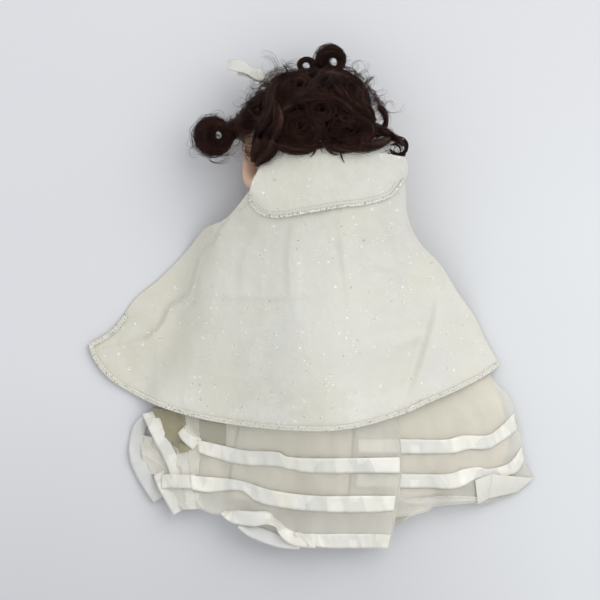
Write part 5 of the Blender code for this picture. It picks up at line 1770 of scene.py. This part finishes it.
class FacePaint:
    """Thin painted shapes that follow the skin of a head, gathered into one mesh."""

    white, iris, pupil, lip, brow = range(5)
    rings, sides = 6, 36
    stroke_steps = 24

    def __init__(self):
        self.points, self.faces, self.kinds = [], [], []
        self.count = 0

    def add(self, across, up, lift, kind):
        """A grid of places in mm, lifted off the skin."""
        depth = np.sqrt(np.maximum(head_radius ** 2 - (across * mm) ** 2 - (up * mm) ** 2, 0))
        directions = np.stack([across * mm, up * mm, -depth], axis=-1) / head_radius
        grid = directions * (skin_distance(directions) + lift * mm)[..., None]
        cells = grid_faces(*grid.shape[:2]) + self.count
        self.points.append(grid.reshape(-1, 3))
        self.faces.append(cells)
        self.kinds.append(np.full(len(cells), kind))
        self.count += grid.size // 3

    def add_spot(self, middle, half, lift, kind, shape):
        """A rounded spot; a shape under 1 draws its two ends to points."""
        angles = np.linspace(0, 2 * math.pi, self.sides, endpoint=False)[None]
        angles = np.concatenate([angles, angles[:, :1]], axis=1)
        share = np.linspace(0, 1, self.rings)[:, None]
        narrow = np.abs(np.sin(angles)) ** (1 / shape) * np.sign(np.sin(angles))
        self.add(middle[0] + share * half[0] * np.cos(angles), middle[1] + share * half[1] * narrow,
                 lift * (1 - 0.6 * share ** 4), kind)

    def add_stroke(self, points, width, lift, kind):
        """A stroke along a line, thin at both ends."""
        line = smooth_line(points, self.stroke_steps)
        ahead = heading_along(line)
        side = np.stack([-ahead[:, 1], ahead[:, 0]], axis=1)
        taper = np.sin(math.pi * np.linspace(0.06, 0.94, self.stroke_steps))[None, :, None]
        share = np.linspace(-1, 1, 5)[:, None, None]
        places = line[None] + share * side[None] * width * taper
        self.add(places[..., 0], places[..., 1], lift * (1 - 0.5 * share[..., 0] ** 2), kind)


class DOLL_OT_heads(bpy.types.Operator):
    """Shape both heads and paint a plain doll's face on each"""

    bl_idname = "doll.heads"
    bl_label = "Heads"

    rows, columns = 120, 180
    neck_rows = 24
    neck_radius = 7.9 * mm
    neck_flare = 1.6 * mm

    def execute(self, context):
        settings = context.scene.doll_body
        skin = skin_finish("skin_finish", settings.skin_color, settings.blush_color)
        paints = [plain_finish("eye_white_finish", tint(236, 232, 226), 0.25, 0.3, 0.00002),
                  plain_finish("iris_finish", settings.iris_color, 0.2, 0.9, 0.00002),
                  plain_finish("pupil_finish", tint(16, 13, 12), 0.15, 0.3, 0.00002),
                  plain_finish("lip_finish", settings.lip_color, 0.35, 0.5, 0.00003),
                  plain_finish("brow_finish", tint(60, 42, 36), 0.5, 0.8, 0.00003)]
        for which, sign, neck in (("upper", 1, upper_neck), ("lower", -1, lower_neck)):
            self.make_head(which, sign, neck, skin)
            self.make_face(which, sign, neck, paints)
        return {"FINISHED"}

    def place(self, points, sign, neck):
        """Head space to the object: the lower head is the upper one turned half round."""
        return points * np.array([sign, sign, 1]) + np.array(neck) + np.array([0, sign * head_rise, 0])

    def make_head(self, which, sign, neck, skin):
        """A skull with its swellings, and a neck that runs into it."""
        polar = np.linspace(0, math.pi, self.rows)[:, None]
        around = np.linspace(0, 2 * math.pi, self.columns)[None]
        directions = np.stack(np.broadcast_arrays(np.sin(polar) * np.cos(around), np.cos(polar),
                                                  np.sin(polar) * np.sin(around)), axis=-1)
        skull = directions * skin_distance(directions)[..., None]
        neck_y = np.linspace(-20 * mm, -head_rise + 0.2 * mm, self.neck_rows)[:, None]
        radius = self.neck_radius + self.neck_flare * smooth_step(-30 * mm, -20 * mm, neck_y)
        tube = np.stack(np.broadcast_arrays(radius * np.cos(around), neck_y, radius * np.sin(around)), -1)
        points = np.vstack([skull.reshape(-1, 3), tube.reshape(-1, 3)])
        faces = np.vstack([grid_faces(self.rows, self.columns),
                           grid_faces(self.neck_rows, self.columns) + self.rows * self.columns])
        head = mesh_object(which + "_doll_head", self.place(points, sign, neck), faces, skin)
        settle(head, which + "_head_turning", "skin", which + "_head")

    def make_face(self, which, sign, neck, paints):
        """Eyes, lashes, brows and lips. All places are in mm from the middle of the face."""
        paint = FacePaint()
        for side in (-1, 1):
            eye = (side * 8.6, 1.6)
            paint.add_spot(eye, (4.2, 2.3), 0.12, paint.white, 0.75)
            paint.add_spot(eye, (2.2, 2.2), 0.2, paint.iris, 1.0)
            paint.add_spot(eye, (1.1, 1.2), 0.26, paint.pupil, 1.0)
            # A white dot painted on each iris as its highlight.
            paint.add_spot((side * 8.6 + 0.8, 2.5), (0.5, 0.5), 0.34, paint.white, 1.0)
            paint.add_stroke([(side * 4.6, 2.0), (side * 6.4, 3.9), (side * 8.8, 4.4), (side * 11.2, 3.6),
                              (side * 13.4, 1.8)], 0.45, 0.3, paint.pupil)
            paint.add_stroke([(side * 4.2, 7.4), (side * 7.4, 9.0), (side * 10.8, 8.8), (side * 13.4, 7.2)],
                             0.55, 0.12, paint.brow)
        paint.add_spot((0, -10.3), (4.0, 1.15), 0.12, paint.lip, 0.6)
        paint.add_spot((0, -12.1), (3.0, 1.2), 0.12, paint.lip, 0.8)
        face = mesh_object(which + "_face_paint", self.place(np.vstack(paint.points), sign, neck),
                           np.vstack(paint.faces), paints[0])
        for material in paints[1:]:
            face.data.materials.append(material)
        face.data.polygons.foreach_set("material_index", np.concatenate(paint.kinds).astype(np.int32))
        settle(face, which + "_head_turning", "skin")


class DOLL_OT_arms(bpy.types.Operator):
    """Shape the four arms, each with a small hand"""

    bl_idname = "doll.arms"
    bl_label = "Arms"

    # Places along the arm, then radius in mm
    arm_radii = ((0.0, 5.4), (0.12, 5.8), (0.3, 5.6), (0.5, 5.2), (0.62, 5.1), (0.8, 4.4), (0.93, 3.4),
                 (1.0, 3.1))
    # Places along the hand, then half width and half thickness in mm
    palm = ((0.0, 3.0, 2.9), (0.3, 3.6, 2.4), (0.7, 4.0, 2.0), (0.95, 3.6, 1.6), (1.0, 0.4, 0.3))
    palm_length = 9 * mm
    # Fingers: place across the palm, start along it, length and radius in mm, spread
    fingers = ((-3.0, 7.6, 5.2, 0.85, -0.16), (-1.0, 8.2, 6.6, 0.95, -0.05), (1.0, 8.3, 6.9, 0.95, 0.04),
               (2.9, 7.8, 6.2, 0.9, 0.14), (3.6, 2.6, 5.6, 1.1, 0.55))

    sides, finger_sides = 32, 16

    def execute(self, context):
        settings = context.scene.doll_body
        finish = skin_finish("arm_skin_finish", settings.skin_color, settings.blush_color)
        for name, shares in arm_shapes.items():
            which, hand, _ = name.split("_")
            side, sign = (-1 if hand == "left" else 1), (1 if which == "upper" else -1)
            shoulder = np.array(joint_place(f"{which}_{hand}_shoulder"))
            turn = np.array([side, sign, 1]) * arm_length
            path = smooth_line([shoulder + np.array(share) * turn for share in shares], 70)
            bundle = Bundle()
            self.add_arm(bundle, path)
            self.add_hand(bundle, path, side)
            bundle.piece(name + "_shape", finish, f"{which}_{hand}_arm_swinging", "skin", name)
        return {"FINISHED"}

    def add_arm(self, bundle, path):
        marks = np.linspace(0, 1, len(path))
        radii = np.interp(marks, *zip(*self.arm_radii)) * mm
        radii *= np.interp(marks, [0, 0.012, 0.03, 1], [0.02, 0.8, 1, 1])
        bundle.add_tube(path, radii, self.sides, 0.1)

    def add_hand(self, bundle, path, side):
        """A flat palm, and fingers that bend a little."""
        ahead, normals, binormals = frames_along(path)
        end, forward, thin, wide = path[-1], ahead[-1], normals[-1], binormals[-1]
        along = np.linspace(-0.1, 1, 40)
        places, half, depth = np.array(self.palm).T
        half, depth = (np.interp(along, places, size)[:, None] * mm for size in (half, depth))
        angles = np.arange(self.sides) * 2 * math.pi / self.sides
        rings = half * depth / np.hypot(half * np.cos(angles), depth * np.sin(angles))
        line = end + forward * (along * self.palm_length)[:, None]
        bundle.add(line[None], *(np.broadcast_to(way, (1, *line.shape)) for way in (thin, wide)), rings[None],
                   self.sides, np.array([0.1]))
        share = np.linspace(0, 1, 24)
        tip = np.sqrt(np.clip(1 - np.clip((share - 0.8) / 0.2, 0, 1) ** 2, 0.002, 1))
        for across, start, length, radius, spread in self.fingers:
            direction = unit(forward + side * wide * spread)
            root = end + forward * start * mm + side * wide * across * mm
            line = root + direction * (share * length * mm)[:, None] - thin * (0.9 * mm * share ** 2)[:, None]
            bundle.add_tube(line, radius * mm * tip * (1 - 0.18 * share), self.finger_sides, 0.1)


class DOLL_OT_clothes(bpy.types.Operator):
    """Fit the bodices and the waistband, softened from their solids"""

    bl_idname = "doll.clothes"
    bl_label = "Bodices and waistband"

    # How deep the creases of each garment are, and their size on the body
    depths = {"upper_bodice": 0.35 * mm, "lower_bodice": 0.35 * mm, "waistband": 0.25 * mm}
    crease_size = np.array([0.006, 0.02, 0.006])

    def execute(self, context):
        settings = context.scene.doll_cloth
        satin = satin_finish("bodice_finish", settings.ribbon_color)
        for node, depth in self.depths.items():
            self.make_soft(node + "_cloth", node, depth, satin)
        return {"FINISHED"}

    def make_soft(self, name, node, depth, finish):
        """A copy of a garment's solid, subdivided, with small creases round the body."""
        mesh = frame["nodes"][node].data.copy()
        mesh.name = name
        piece = bpy.data.objects.new(name, mesh)
        bpy.context.scene.collection.objects.link(piece)
        mesh.materials.clear()
        mesh.materials.append(finish)
        welded = bmesh.new()
        welded.from_mesh(mesh)
        bmesh.ops.remove_doubles(welded, verts=welded.verts, dist=1e-6)
        bmesh.ops.recalc_face_normals(welded, faces=welded.faces)
        welded.to_mesh(mesh)
        welded.free()
        soft = piece.modifiers.new("soft", "SUBSURF")
        soft.levels = soft.render_levels = 2
        soft.subdivision_type = "SIMPLE"
        evaluated = piece.evaluated_get(bpy.context.evaluated_depsgraph_get())
        fine = bpy.data.meshes.new_from_object(evaluated)
        piece.modifiers.remove(soft)
        points = np.zeros(len(fine.vertices) * 3, np.float32)
        normals = np.zeros(len(fine.vertices) * 3, np.float32)
        fine.vertices.foreach_get("co", points)
        fine.vertex_normals.foreach_get("vector", normals)
        points, normals = points.reshape(-1, 3), normals.reshape(-1, 3)
        crease = np.array([noise.noise(Vector(point / self.crease_size)) for point in points])
        points += normals * (depth * 0.5 * (crease + 0.4))[:, None].astype(np.float32)
        fine.vertices.foreach_set("co", points.ravel())
        fine.shade_smooth()
        piece.data = fine
        settle(piece, "doll_body", "ribbon", node)


class DOLL_OT_kept_parts(bpy.types.Operator):
    """Finish the solids that keep their shape: bodies, arms, buttons and elastics"""

    bl_idname = "doll.kept_parts"
    bl_label = "Bodies, arms and fastenings"

    def execute(self, context):
        settings = context.scene.doll_body
        skin = skin_finish("body_skin_finish", settings.skin_color, settings.blush_color)
        button = plain_finish("button_finish", tint(214, 208, 196), 0.4, 0.2, 0.00004)
        elastic = plain_finish("elastic_finish", tint(206, 200, 186), 0.75, 1.6, 0.0001)
        kinds = {"button": button, "sleeve": button, "elastic": elastic}
        for name, node in frame["nodes"].items():
            if not node.hide_render:
                finish = next((finish for kind, finish in kinds.items() if kind in name), skin)
                for slot in node.material_slots:
                    slot.material = finish
        return {"FINISHED"}


class DOLL_PT_panel(bpy.types.Panel):
    """Lists the doll's pieces and their settings"""

    bl_idname = "DOLL_PT_panel"
    bl_label = "Topsy Turvy Doll"
    bl_space_type = "VIEW_3D"
    bl_region_type = "UI"
    bl_category = "Doll"

    def draw(self, context):
        layout = self.layout
        for operator in operators:
            layout.operator(operator.bl_idname)
        for group, holder in settings_groups.items():
            box = layout.box()
            box.label(text=holder.__doc__)
            for name in holder.__annotations__:
                box.prop(getattr(context.scene, group), name)


operators = (DOLL_OT_stage, DOLL_OT_cape, DOLL_OT_collar, DOLL_OT_braids, DOLL_OT_skirt, DOLL_OT_ribbons,
             DOLL_OT_bunch, DOLL_OT_wig, DOLL_OT_curls, DOLL_OT_flyaways, DOLL_OT_bow, DOLL_OT_heads,
             DOLL_OT_arms, DOLL_OT_clothes, DOLL_OT_kept_parts)
settings_groups = {"doll_cloth": DollClothSettings, "doll_hair": DollHairSettings,
                   "doll_body": DollBodySettings, "doll_stage": DollStageSettings}


def register():
    for name, holder in settings_groups.items():
        bpy.utils.register_class(holder)
        setattr(bpy.types.Scene, name, PointerProperty(type=holder))
    for operator in (*operators, DOLL_PT_panel):
        bpy.utils.register_class(operator)


def unregister():
    for operator in reversed((*operators, DOLL_PT_panel)):
        bpy.utils.unregister_class(operator)
    for name, holder in settings_groups.items():
        delattr(bpy.types.Scene, name)
        bpy.utils.unregister_class(holder)


def main():
    register()
    for operator in operators:
        group, name = operator.bl_idname.split(".")
        getattr(getattr(bpy.ops, group), name)()


if __name__ == "__main__":
    main()
